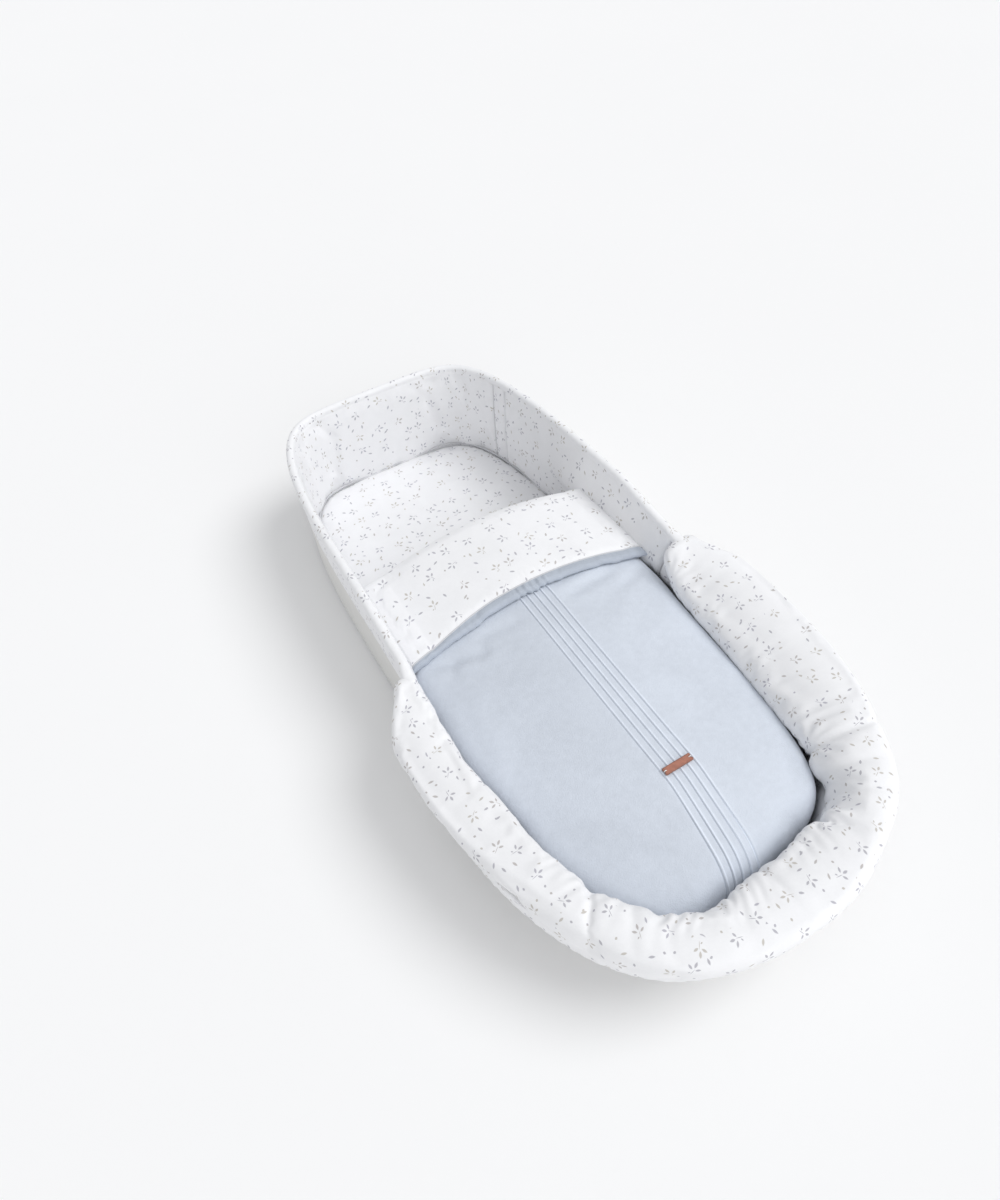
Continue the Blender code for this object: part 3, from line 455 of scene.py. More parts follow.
def base_pad():
    """Rings over the back, round the sewn edge and over the crowned top, then remeshed and swollen."""
    shares = (0.92, 0.5, 0.0, -0.004, 0.0, 0.012, 0.04, 0.10, 0.22, 0.45, 0.70, 0.92)
    heights = (0.0, 0.0, 0.0, 0.007, PAD_TOP_Z - PAD_EDGE_DROP, PAD_TOP_Z - 0.0012, PAD_TOP_Z, PAD_TOP_Z + 0.0010,
               PAD_TOP_Z + PAD_CROWN * 0.6, PAD_TOP_Z + PAD_CROWN, PAD_TOP_Z + PAD_CROWN, PAD_TOP_Z + PAD_CROWN)
    rings = np.stack([pad_ring(share, z, 180) for share, z in zip(shares, heights)])
    pattern = Pattern()
    wide = np.concatenate([rings, rings[:, :1]], axis=1)[..., :2]
    numbers = pattern.panel(rings, wide, closed=True)
    pattern.cap(numbers[0, :-1], wide[0], flip=True)
    pattern.cap(numbers[-1, :-1], wide[-1])
    pad = pattern.made("base_pad", PRINT_COTTON, PLAIN_COTTON)
    remesh = pad.modifiers.new("even cloth", "REMESH")
    remesh.mode = "VOXEL"
    remesh.voxel_size = 0.0056
    even = bpy.data.meshes.new_from_object(pad.evaluated_get(bpy.context.evaluated_depsgraph_get()))
    pad.modifiers.remove(remesh)
    pad.data = even
    heights = points_of(even)[:, 2]
    swell(pad, (heights < PAD_TOP_Z - PAD_EDGE_DROP - 0.002).astype(float), 2.0, 0.0022, frames=12)
    points = points_of(even)
    points[:, 2] = np.maximum(points[:, 2], 0.0)
    even.vertices.foreach_set("co", points.ravel())
    corners = np.empty(len(even.loops), int)
    even.loops.foreach_get("vertex_index", corners)
    cut = even.uv_layers.new(name="cut")
    cut.data.foreach_set("uv", points[corners][:, :2].astype(np.float32).ravel())
    below = [1 if face.center.z < 0.004 else 0 for face in even.polygons]
    even.materials.clear()
    even.materials.append(PRINT_COTTON)
    even.materials.append(PLAIN_COTTON)
    even.polygons.foreach_set("material_index", below)
    even.polygons.foreach_set("use_smooth", [True] * len(even.polygons))
    soften(pad)
    return pad


pad = base_pad()
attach(pad, "liner")
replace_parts(pad, "base_backing", "base_wadding", "base_top_cloth")

# Piping between pad and walls: a thin cord in a grey cotton strip, sewn into the seam all round. Its grey is partly the
# cotton's own and partly painted shade for the dark line along the seam.
PIPING_RADIUS = 0.0012
PIPING_OUT = -0.0318
PIPING_Z = 0.0205


def cord_round(name, stations, out, z, radius, material, sides=8, closed=True):
    """Thin round cord beside the rim line."""
    turns = np.linspace(0, 2 * np.pi, sides, endpoint=False)
    rings = rim(stations[:, None], out + radius * np.cos(turns)[None], z + radius * np.sin(turns)[None])
    places = np.stack(np.meshgrid(stations, np.append(turns, 2 * np.pi) * radius, indexing="ij"), -1)
    pattern = Pattern()
    numbers = pattern.panel(rings, places, closed=True)
    if closed:
        pattern.join(np.stack([numbers[-1], numbers[0]]), places[:2])
    return pattern.made(name, material)


piping = cord_round("pad_piping", np.linspace(-HALF_RIM, HALF_RIM, 320, endpoint=False),
                    PIPING_OUT, PIPING_Z, PIPING_RADIUS, GREY_PIPING_WITH_PAINTED_SHADE)
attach(piping, "liner")
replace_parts(piping, "base_piping")

# Walls: quilted side, head and foot panels and two narrow corner strips, printed face, plain back.
# They are sewn to each other edge to edge, so each one swells between its seams.
WALL_FOOT_Z = 0.003
WALL_INSET_LOW = 0.0300
WALL_INSET_HIGH = 0.0270
WALL_THICKNESS = 0.0093
WALL_BULGE = 0.0015
WALL_TOP = 0.152
WALL_TOP_AT_ROLL = 0.138
WALL_FALL_LENGTH = 0.120
ROLL_SEAT_Z = 0.0900
ROLL_START = 0.500
ROLL_TAPER = 0.070
ROLL_HALF_HEIGHT = 0.0245
ROLL_MIDDLE_Z = 0.1110
ROLL_START_HALF_HEIGHT = 0.0160
ROLL_START_MIDDLE_Z = 0.1240
STRIP_START = HALF_RIM - 0.256
STRIP_END = STRIP_START + 0.028
SEAM_DIP = 0.0014
SEAM_REACH = 0.006
PRESS_DEPTH = 0.0125
PRESS_Z = 0.0875
PRESS_REACH_UP = 0.0260
PRESS_REACH_DOWN = 0.0170
LEAN_DEPTH = 0.0050
LEAN_CORNER = 0.0058
LEAN_FROM_Z = 0.0620
BACK_PRINT_DEPTH = 0.045


def wall_top(station):
    """Height of the wall: full round the head, falling to meet the start of the roll."""
    past = np.abs(station)
    past = np.where(past > HALF_RIM, 2 * HALF_RIM - past, past)
    fall = 1 - smooth_step((past - ROLL_START) / WALL_FALL_LENGTH)
    return WALL_TOP - fall * (WALL_TOP - WALL_TOP_AT_ROLL)


def under_roll(station):
    """Height of the foot half of the wall, which ends where the roll sits on it."""
    full = smooth_step((ROLL_START - np.abs(station)) / ROLL_TAPER)
    middle = ROLL_START_MIDDLE_Z + full * (ROLL_MIDDLE_Z - ROLL_START_MIDDLE_Z)
    half = ROLL_START_HALF_HEIGHT + full * (ROLL_HALF_HEIGHT - ROLL_START_HALF_HEIGHT)
    return np.maximum(middle - half, ROLL_SEAT_Z) - 0.0003


def wall_inset(share):
    """Distance of the wall's inner face inside the rim line, by its height share."""
    return WALL_INSET_LOW + (WALL_INSET_HIGH - WALL_INSET_LOW) * share + WALL_BULGE * np.sin(np.pi * share)


def wall_press(station, z):
    """The right wall's padding leans in to the cuff and the cover beside it."""
    beside = smooth_step((station - 0.385) / 0.070) * smooth_step((0.780 - station) / 0.110)
    reach = np.where(z > PRESS_Z, PRESS_REACH_UP, PRESS_REACH_DOWN)
    return PRESS_DEPTH * beside * np.exp(-((z - PRESS_Z) / reach) ** 2)


def wall_lean(station, z):
    """Below the left and foot roll the top of the wall leans outwards, so that the roll covers it."""
    left = LEAN_DEPTH * smooth_step((-station - 0.045) / 0.020) * smooth_step((0.490 + station) / 0.030)
    corner = LEAN_CORNER * np.exp(-((station + 0.103) / 0.045) ** 4)
    return (left + corner) * smooth_step((z - LEAN_FROM_Z) / 0.026)


def wall(name, start, end, top=wall_top, puff=0.0012):
    """One quilted length of wall, from its foot seam up to the height top gives at each station."""
    count = max(4, int(round(abs(end - start) / 0.0055)))
    stations = np.linspace(start, end, count + 1)
    shares = np.linspace(0, 1, 25)
    tops = top(stations)
    z = WALL_FOOT_Z + (tops[None] - WALL_FOOT_Z) * shares[:, None]
    from_seam = np.minimum(np.abs(stations - start), np.abs(stations - end))[None]
    from_seam = np.minimum(from_seam, (z - WALL_FOOT_Z - 0.014))
    dip = SEAM_DIP * np.exp(-np.maximum(from_seam, 0.0) / SEAM_REACH)
    inset = wall_inset(shares)[:, None] + puff - dip + wall_press(stations[None], z)
    lean = wall_lean(stations[None], z)
    front = rim(stations[None], lean - inset, z)
    back = rim(stations[None], lean - wall_inset(shares)[:, None] + WALL_THICKNESS, z)
    flat = np.stack(np.broadcast_arrays(stations[None], z), -1)
    pattern = Pattern()
    flip = end > start
    face = pattern.panel(front, flat, 0, flip=flip)
    reverse = pattern.panel(back, flat + (0.0, 0.35), 1, flip=not flip)
    pattern.finishes[-24 * count:] = [0 if height > WALL_TOP_AT_ROLL - BACK_PRINT_DEPTH else 1
                                      for height in np.repeat(z[1:].mean(axis=1), count)]
    for edge, turned in ((0, flip), (-1, not flip)):
        pattern.join(np.stack([face[edge], reverse[edge]]), np.stack([flat[edge], flat[edge] + (0.0, 0.01)]),
                     flip=not turned)
        pattern.join(np.stack([face[:, edge], reverse[:, edge]]),
                     np.stack([flat[:, edge], flat[:, edge] + (0.01, 0.0)]), flip=turned)
    piece = pattern.made(name, PRINT_COTTON, PLAIN_COTTON)
    free = np.zeros((25, len(stations)))
    free[2:-2, 1:-1] = 1.0
    held = np.concatenate([1 - free.ravel(), np.ones(free.size)])
    swell(piece, held, 3.0, 0.0026, frames=12, stiffness=8.0, slack=0.02)
    soften(piece)
    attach(piece, "liner")
    return piece


def layers(name):
    return [name + "_face", name + "_wadding", name + "_backing"]


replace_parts(wall("foot_wall", -ROLL_START, ROLL_START, top=under_roll), *layers("foot_wall"))
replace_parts(wall("right_wall", ROLL_START, STRIP_START), *layers("right_wall"))
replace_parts(wall("left_wall", -ROLL_START, -STRIP_START), *layers("left_wall"))
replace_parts(wall("right_corner", STRIP_START, STRIP_END, puff=0.0004), "right_corner_strip")
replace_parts(wall("left_corner", -STRIP_START, -STRIP_END, puff=0.0004), "left_corner_strip")
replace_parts(wall("head_wall", STRIP_END, 2 * HALF_RIM - STRIP_END), *layers("head_wall"))

# Binding: the walls' top edge is turned over a soft cord and topstitched, from one roll to the other.
# The turned cloth gathers slightly where the stitches pull it down.
BINDING_RISE = 0.0052
BINDING_LAP = 0.0070
BINDING_HALF = 0.0056
BINDING_END = 0.016


def binding():
    """Rounded edge that laps a little way down both faces of the wall, and sinks into the roll's starts."""
    count = int(round((HALF_RIM - ROLL_START) * 2 / 0.003))
    stations = np.linspace(ROLL_START - BINDING_END, 2 * HALF_RIM - ROLL_START + BINDING_END, count)
    turns = np.linspace(np.pi, 0, 9)
    across = np.concatenate([[-1.0, -1.04], np.cos(turns), [1.04, 1.0]])
    lift = np.concatenate([[-BINDING_LAP, -BINDING_LAP * 0.4], np.sin(turns) * BINDING_RISE,
                           [-BINDING_LAP * 0.4, -BINDING_LAP]])
    gather = 1 + 0.035 * np.sin(stations * 2 * np.pi / 0.0105) + 0.02 * np.sin(stations * 2 * np.pi / 0.0237)
    from_end = np.minimum(stations - stations[0], stations[-1] - stations)
    sunk = 1 - smooth_step(from_end / (2 * BINDING_END))
    middle = -(WALL_INSET_HIGH - WALL_THICKNESS / 2) + 0.004 * sunk
    out = middle[:, None] + BINDING_HALF * across[None] * (gather + 0.35 * sunk)[:, None]
    z = wall_top(stations)[:, None] + lift[None] * (2 - gather)[:, None] - 0.0055 * sunk[:, None]
    rings = rim(stations[:, None], out, z)
    across_length = np.linspace(0, 0.034, len(across) + 1)
    places = np.stack(np.meshgrid(stations, across_length + 0.153, indexing="ij"), -1)
    pattern = Pattern()
    numbers = pattern.panel(rings, places, closed=True)
    pattern.cap(numbers[0, :-1], places[0], flip=True)
    pattern.cap(numbers[-1, :-1], places[-1])
    piece = pattern.made("turned_edge", PRINT_COTTON)
    soften(piece)
    return piece


edge = binding()
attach(edge, "liner")
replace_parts(edge, "wall_binding")

# Rim roll: a long tube of the same print, stuffed with loose wadding, sewn along the top of the foot half.
# It sits on the wall and hangs a little over it, is pinched in at the foot corners, and gathers where it bends.
ROLL_START_MIDDLE_OUT = -0.0130
ROLL_START_REACH = 0.0020
ROLL_SIDES = 46
ROLL_PITCH = 0.0032
ROLL_UNSTUFFED = 0.0014
ROLL_END = 0.011
ROLL_PRINT = 1.12
ROLL_REACH_IN = ((-0.500, 0.0290), (-0.455, 0.0280), (-0.423, 0.0264), (-0.388, 0.0272), (-0.338, 0.0310),
                 (-0.300, 0.0312), (-0.259, 0.0264), (-0.219, 0.0250), (-0.182, 0.0235), (-0.155, 0.0245),
                 (-0.121, 0.0205), (-0.083, 0.0205), (-0.057, 0.0275), (-0.020, 0.0335), (0.040, 0.0362),
                 (0.075, 0.0372), (0.100, 0.0300), (0.500, 0.0300))
ROLL_REACH_OUT = ((-0.500, 0.0290), (-0.359, 0.0322), (-0.310, 0.0300), (-0.250, 0.0262), (-0.150, 0.0278),
                  (-0.084, 0.0298), (0.000, 0.0325), (0.037, 0.0308), (0.076, 0.0272), (0.112, 0.0280),
                  (0.150, 0.0318), (0.240, 0.0318), (0.300, 0.0292), (0.500, 0.0290))
ROLL_CREASES = ((-0.187, 0.0070, 0.0060), (0.089, 0.0105, 0.0062), (0.196, 0.0095, 0.0065), (0.196, 0.0040, 0.0200),
                (-0.120, 0.0030, 0.0070), (-0.150, 0.0026, 0.0065), (0.130, 0.0035, 0.0060), (0.160, 0.0045, 0.0065))
ROLL_FANS = ((-0.187, 0.0011), (0.089, 0.0018), (0.192, 0.0022), (0.462, 0.0014), (-0.460, 0.0013), (-0.095, 0.0009))
ROLL_FOLD = 0.0013
BAY_START = 0.090
BAY_END = 0.152
BAY_DEPTH = 0.0025
BAY_SAG = 0.0050
COVER_HALF_WIDTH = 0.152
COVER_END_REACH = 0.304
COVER_END_POWER = 5.2
COVER_TAPER = 0.022
COVER_CLEARANCE = -0.0060
BAY_CLEARANCE = 0.0025
ROLL_HANG = 0.0105
ROLL_SAG = 0.0140


def cover_half(y):
    """Half width of the cover at y: even, then narrowing to a rounded foot end."""
    past = np.clip((WIDEST_Y - y) / COVER_END_REACH, 0, 1)
    return (COVER_HALF_WIDTH - COVER_TAPER * past) * (1 - past ** COVER_END_POWER) ** (1 / COVER_END_POWER)


def along_rim(table, stations):
    """Smooth curve of a value along the rim, through a table of station and value."""
    fine = np.linspace(-0.52, 0.52, 521)
    weights = np.hanning(17) / np.hanning(17).sum()
    rough = np.pad(np.interp(fine, *zip(*table)), 8, mode="edge")
    return np.interp(stations, fine, np.convolve(rough, weights, mode="valid"))


def to_cover(stations):
    """Distance from the rim line in to the cover's edge."""
    deep = np.linspace(0.0, 0.090, 361)
    probe = rim(stations[:, None], -deep[None], 0.0)
    return deep[np.argmax(np.abs(probe[..., 0]) < cover_half(probe[..., 1]), axis=1)]


def roll_reach(stations):
    """How far the roll reaches in from the rim line; on the right it leans over to the cover's edge."""
    own = along_rim(ROLL_REACH_IN, stations)
    bay = smooth_step((0.165 - stations) / 0.025)
    beside = to_cover(stations) - COVER_CLEARANCE - bay * (BAY_CLEARANCE - COVER_CLEARANCE)
    start = smooth_step((ROLL_START + 0.006 - stations) / 0.045)
    lean = smooth_step((stations - BAY_START) / 0.020) * np.maximum(0.0, beside - own) * (0.60 + 0.40 * start)
    return own + lean


def roll_sizes(stations):
    """Middle, outer reach and half height of the roll, smaller where it starts, and how full it is there."""
    full = smooth_step((ROLL_START - np.abs(stations)) / ROLL_TAPER)
    middle_out = ROLL_START_MIDDLE_OUT * (1 - full)
    reach_out = ROLL_START_REACH + full * (along_rim(ROLL_REACH_OUT, stations) - ROLL_START_REACH)
    middle_z = ROLL_START_MIDDLE_Z + full * (ROLL_MIDDLE_Z - ROLL_START_MIDDLE_Z)
    half_height = ROLL_START_HALF_HEIGHT + full * (ROLL_HALF_HEIGHT - ROLL_START_HALF_HEIGHT)
    return middle_out, reach_out, middle_z, half_height, full


def roll_gathers():
    """Seeded small gathers along the seam: station, depth, reach and slant of each."""
    numbers = np.random.default_rng(11)
    places = np.arange(-0.480, 0.481, 0.0205)
    places = places + numbers.uniform(-0.008, 0.008, len(places))
    bent = np.exp(-(places / 0.20) ** 4)
    depths = numbers.uniform(0.0003, 0.0014, len(places)) * (0.8 + 1.3 * bent)
    reaches = numbers.uniform(0.0035, 0.0075, len(places))
    slants = numbers.uniform(-0.009, 0.009, len(places))
    return list(zip(places, depths, reaches, slants))


def roll_pull(station, turn):
    """How far the stitches, creases and folds draw the cloth in at each point of the roll."""
    level = np.cos(turn)
    near_seam = 0.12 + 0.88 * smooth_step(0.62 - level * 0.72)
    pull = np.zeros(np.broadcast(station, turn).shape)
    for place, depth, width in ROLL_CREASES:
        away = np.abs((station - place - 0.008 * level) / width)
        pull = np.maximum(pull, depth * np.exp(-away ** 1.3) * near_seam)
    for place, depth, width, slant in roll_gathers():
        pull = pull + depth * np.exp(-((station - place - slant * level) / width) ** 2) * near_seam ** 2
    folds = np.cos((station + 0.012 * level) * 2 * np.pi / 0.0118 + 2.5 * np.cos(station * 31))
    folds = folds * (0.52 + 0.48 * np.cos(station * 61 + 1.3 + 1.7 * np.cos(station * 19)))
    bent = np.exp(-((station + 0.070) / 0.150) ** 4)
    pull = pull - ROLL_FOLD * folds * bent * near_seam * smooth_step(0.35 - level)
    for place, height in ROLL_FANS:
        along, round_it = station - place, 0.030 * (turn - np.pi * 0.93)
        reach = np.hypot(along, round_it)
        fan = np.cos(11 * np.arctan2(along, round_it) + 40 * place)
        pull = pull + height * fan * np.exp(-((reach - 0.016) / 0.010) ** 2)
    return pull


def power_of(value, power):
    return np.abs(value) ** power * np.sign(value)


def roll_section(stations, turns):
    """Rings of the unstuffed roll; its inner side comes down over the wall, on the right as far as the cover."""
    station, turn = stations[:, None], turns[None]
    middle_out, reach_out, middle_z, half_height, full = (value[:, None] for value in roll_sizes(stations))
    reach_in = roll_reach(stations)[:, None]
    level, upright = np.cos(turn), np.sin(turn)
    low_inside = (level < 0) & (upright < 0)
    leaning = smooth_step((station - BAY_START) / 0.020) * smooth_step((ROLL_START - station) / 0.045)
    bay = smooth_step((station - BAY_START) / 0.020) * smooth_step((BAY_END - station) / 0.020)
    squareness = np.where(low_inside, 4.6 - 2.0 * leaning, np.where(level < 0, 2.3 - 0.35 * leaning - 0.35 * bay, 2.3))
    across = power_of(level, 2 / squareness)
    up = power_of(upright, 2 / squareness)
    pull = roll_pull(station, turn)
    set_back = BAY_DEPTH * bay * np.clip(-level, 0, 1) ** 0.7 * smooth_step((upright + 0.75) / 0.9)
    half_width = np.where(level < 0, reach_in + middle_out, reach_out - middle_out)
    half_width = half_width - ROLL_UNSTUFFED - pull * 0.9
    half_height = half_height - ROLL_UNSTUFFED * 0.6 - pull * smooth_step(upright + 0.2)
    sag = np.where(level < 0, ROLL_SAG * leaning + BAY_SAG * bay, 0.0)
    rise = half_height + np.where(upright > 0, sag, -sag * 0.3)
    hang = ROLL_HANG * leaning * low_inside * smooth_step((-across - 0.70) / 0.20)
    past = np.clip((np.abs(station) - (ROLL_START - ROLL_END)) / ROLL_END, 0, 1)
    end = np.sqrt(np.clip(1 - past ** 2, 0.03, 1))
    seat = np.where(full > 0.02, ROLL_SEAT_Z + 0.018 * (1 - full), 0.0)
    z = np.maximum(middle_z - sag + rise * up * end, seat - hang)
    return rim(station, middle_out + set_back + half_width * across * end, z)


def rim_roll():
    stations = np.linspace(-ROLL_START, ROLL_START, int(round(2 * ROLL_START / ROLL_PITCH)) + 1)
    ends = ROLL_START - ROLL_END * (1 - np.array([1.0, 0.97, 0.88, 0.70, 0.42]))
    stations = np.concatenate([-ends, stations[np.abs(stations) < ROLL_START - ROLL_END - 0.001], ends[::-1]])
    turns = np.linspace(-np.pi / 2, 3 * np.pi / 2, ROLL_SIDES, endpoint=False)
    rings = roll_section(stations, turns)
    closed = np.concatenate([rings, rings[:, :1]], axis=1)
    round_it = np.concatenate([np.zeros((len(rings), 1)), np.cumsum(np.linalg.norm(np.diff(closed, axis=1), axis=-1), axis=1)], axis=1)
    round_it -= round_it[:, ROLL_SIDES // 2][:, None]
    outside = rings[:, ROLL_SIDES * 3 // 8]
    along = np.concatenate([[0.0], np.cumsum(np.linalg.norm(np.diff(outside, axis=0), axis=-1))])
    places = np.stack(np.broadcast_arrays(along[:, None] + 3.0, round_it + 0.7), -1) * ROLL_PRINT
    pattern = Pattern()
    numbers = pattern.panel(rings, places, closed=True)
    pattern.cap(numbers[0, :-1], places[0], flip=True)
    pattern.cap(numbers[-1, :-1], places[-1])
    piece = pattern.made("stuffed_roll", PRINT_COTTON)
    held = np.zeros((len(stations), ROLL_SIDES))
    held[:5] = held[-5:] = 1.0
    held[rings[..., 2] < ROLL_SEAT_Z + 0.0012] = 1.0
    swell(piece, held.ravel(), 4.0, 0.0040, frames=16, stiffness=9.0, bending=0.4, slack=0.020)
    swollen = points_of(piece.data).reshape(rings.shape)
    swollen -= (swollen - rings).mean(axis=1, keepdims=True)
    low = np.where(held > 0, rings[..., 2], ROLL_SEAT_Z)
    swollen[..., 2] = np.maximum(swollen[..., 2], np.minimum(low, rings[..., 2]))
    piece.data.vertices.foreach_set("co", swollen.ravel())
    soften(piece)
    return piece


roll = rim_roll()
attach(roll, "liner")
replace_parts(roll, "foot_roll_cloth", "foot_roll_filling", "left_roll_cloth", "left_roll_filling",
            "right_roll_cloth", "right_roll_filling")

# Rim skirt: a single band of the print below the outside of the roll, hemmed round a flat elastic.
# It holds the liner to the carrycot's rim, and the elastic gathers the hem.
SKIRT_HEM_Z = 0.0680
SKIRT_TOP_Z = 0.0975
SKIRT_OUT_TOP = 0.0225
SKIRT_OUT_HEM = 0.0198
SKIRT_THICKNESS = 0.0016
SKIRT_END = 0.430
SKIRT_TAPER = 0.070
GATHER_PITCH = 0.0125


def rim_skirt():
    stations = np.linspace(-SKIRT_END, SKIRT_END, 760)
    shares = np.array([0.0, 0.05, 0.12, 0.26, 0.32, 0.45, 0.6, 0.8, 1.0])
    z = SKIRT_HEM_Z + (SKIRT_TOP_Z - SKIRT_HEM_Z) * shares
    numbers = np.random.default_rng(4)
    knots = np.arange(-SKIRT_END - 0.02, SKIRT_END + 0.02, GATHER_PITCH / 2)
    knots = knots + numbers.uniform(-0.0022, 0.0022, len(knots))
    heights = np.where(np.arange(len(knots)) % 2, 1.0, -1.0) * numbers.uniform(0.35, 1.0, len(knots)) * 0.0008
    wave = np.interp(stations, knots, heights)
    wave = np.convolve(np.pad(wave, 3, mode="edge"), np.array([1, 2, 3, 4, 3, 2, 1]) / 16, mode="valid")
    drawn = (1 - 0.85 * smooth_step(shares / 0.85)) * (1 - 0.35 * np.exp(-((shares - 0.29) / 0.04) ** 2))
    hem = 0.0008 * np.exp(-((shares - 0.14) / 0.11) ** 2)
    out = SKIRT_OUT_HEM + (SKIRT_OUT_TOP - SKIRT_OUT_HEM) * shares[None] + wave[:, None] * drawn[None] + hem[None]
    ending = (1 - smooth_step((SKIRT_END - np.abs(stations)) / SKIRT_TAPER))[:, None]
    out = out - 0.0040 * ending
    lifted = z[None] + (0.25 * np.abs(wave)[:, None] + 0.017 * ending) * (1 - shares[None])
    outer = rim(stations[:, None], out, lifted)
    inner = rim(stations[:, None], out - SKIRT_THICKNESS, lifted)
    flat = np.stack(np.meshgrid(stations, z, indexing="ij"), -1)
    pattern = Pattern()
    front = pattern.panel(outer, flat, flip=True)
    back = pattern.panel(inner, flat + (0.0, 0.04))
    for edge, turned in ((0, True), (-1, False)):
        pattern.join(np.stack([front[edge], back[edge]]), np.stack([flat[edge], flat[edge] + (0.002, 0.0)]), flip=not turned)
        pattern.join(np.stack([front[:, edge], back[:, edge]]), np.stack([flat[:, edge], flat[:, edge] + (0.0, 0.002)]), flip=turned)
    return pattern.made("skirt_band", PRINT_COTTON)


skirt = rim_skirt()
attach(skirt, "liner")
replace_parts(skirt, "rim_skirt", "skirt_elastic")

# Cover: blue microfibre over wadding, with the printed cotton as its lining, and five sewn tucks down the middle.
# Its foot end stays sewn to the liner, and the rest opens on the side zips.
COVER_END_RADIUS = 0.0300
COVER_EDGE_RADIUS = 0.0180
COVER_EDGE_Z = 0.0980
COVER_CROWN_HEAD = 0.0220
COVER_CROWN_FOOT = 0.0100
COVER_DEPTH = 0.0090
COVER_HEM_Z = 0.0456
HINGE_Y = -0.33565
FOLD_Y = 0.13635
TUCK_RISE = 0.0014
TUCK_PITCH = 0.0090
TUCK_COUNT = 5
TUCK_DRIFT = 0.0160
COVER_SIDE_POINTS = 7
COVER_ROUND_POINTS = 7
COVER_TOP_POINTS = 17
TUCK_OFFSETS = (-0.0022, -0.0012, -0.00065, -0.0002, 0.0003, 0.0009, 0.0017, 0.0027, 0.0041)
TUCK_HEIGHTS = (0.0000, -0.0002, -0.0007, -0.0004, 0.0008, 0.0011, 0.0008, 0.0003, 0.0000)
SLACK_FOLDS = ((0.066, -0.014, 8.0, 0.038, 0.0060, -0.0042), (0.064, -0.003, 8.0, 0.034, 0.0045, 0.0030),
               (0.118, -0.028, 20.0, 0.024, 0.0055, -0.0032), (-0.118, -0.022, -22.0, 0.032, 0.0055, -0.0050),
               (-0.108, -0.036, -20.0, 0.028, 0.0065, 0.0034), (-0.060, -0.016, -8.0, 0.028, 0.0050, -0.0030),
               (0.092, -0.320, 62.0, 0.026, 0.0075, -0.0020), (0.020, -0.020, 88.0, 0.020, 0.0080, 0.0010),
               (-0.135, -0.120, 80.0, 0.050, 0.0080, 0.0014), (0.085, -0.060, 40.0, 0.035, 0.0120, 0.0018),
               (-0.128, -0.030, 55.0, 0.014, 0.0038, -0.0044), (-0.090, -0.030, 60.0, 0.016, 0.0042, -0.0032))
FILL_CENTRE_Y = -0.200
FILL_CLEARANCE = 0.0016
BLUE = (0.617, 0.662, 0.735)


def suede_effect():
    """Suede-look microfibre: cloudy nap, fine pebbled grain and a soft change of tone."""
    group, came, goes = effect("suede_nap", {"Place": ("Vector", None), "Grain": ("Float", 900.0)},
                               {"Height": "Float", "Tone": "Float"})
    solid = node(group, "ShaderNodeTexCoord")["Object"]
    clouds = node(group, "ShaderNodeTexNoise", {"Vector": solid, "Scale": 11.0, "Detail": 4.0, "Roughness": 0.6,
                                                "Distortion": 0.8})["Fac"]
    mottle = node(group, "ShaderNodeTexNoise", {"Vector": came["Place"], "Scale": 130.0, "Detail": 3.0})["Fac"]
    pebble = node(group, "ShaderNodeTexVoronoi", {"Vector": came["Place"], "Scale": came["Grain"]},
                  feature="SMOOTH_F1")["Distance"]
    grain = maths(group, "ADD", maths(group, "MULTIPLY", pebble, 0.8), maths(group, "MULTIPLY", mottle, 0.6))
    feed(group, goes["Height"], maths(group, "ADD", grain, maths(group, "MULTIPLY", clouds, 1.4)))
    tone = maths(group, "ADD", maths(group, "MULTIPLY", clouds, 0.75), maths(group, "MULTIPLY", mottle, 0.35))
    tone = maths(group, "ADD", tone, maths(group, "MULTIPLY", pebble, 0.12))
    feed(group, goes["Tone"], ranged(group, tone, 0.35, 0.85, 0.905, 1.075))
    return group


SUEDE = suede_effect()


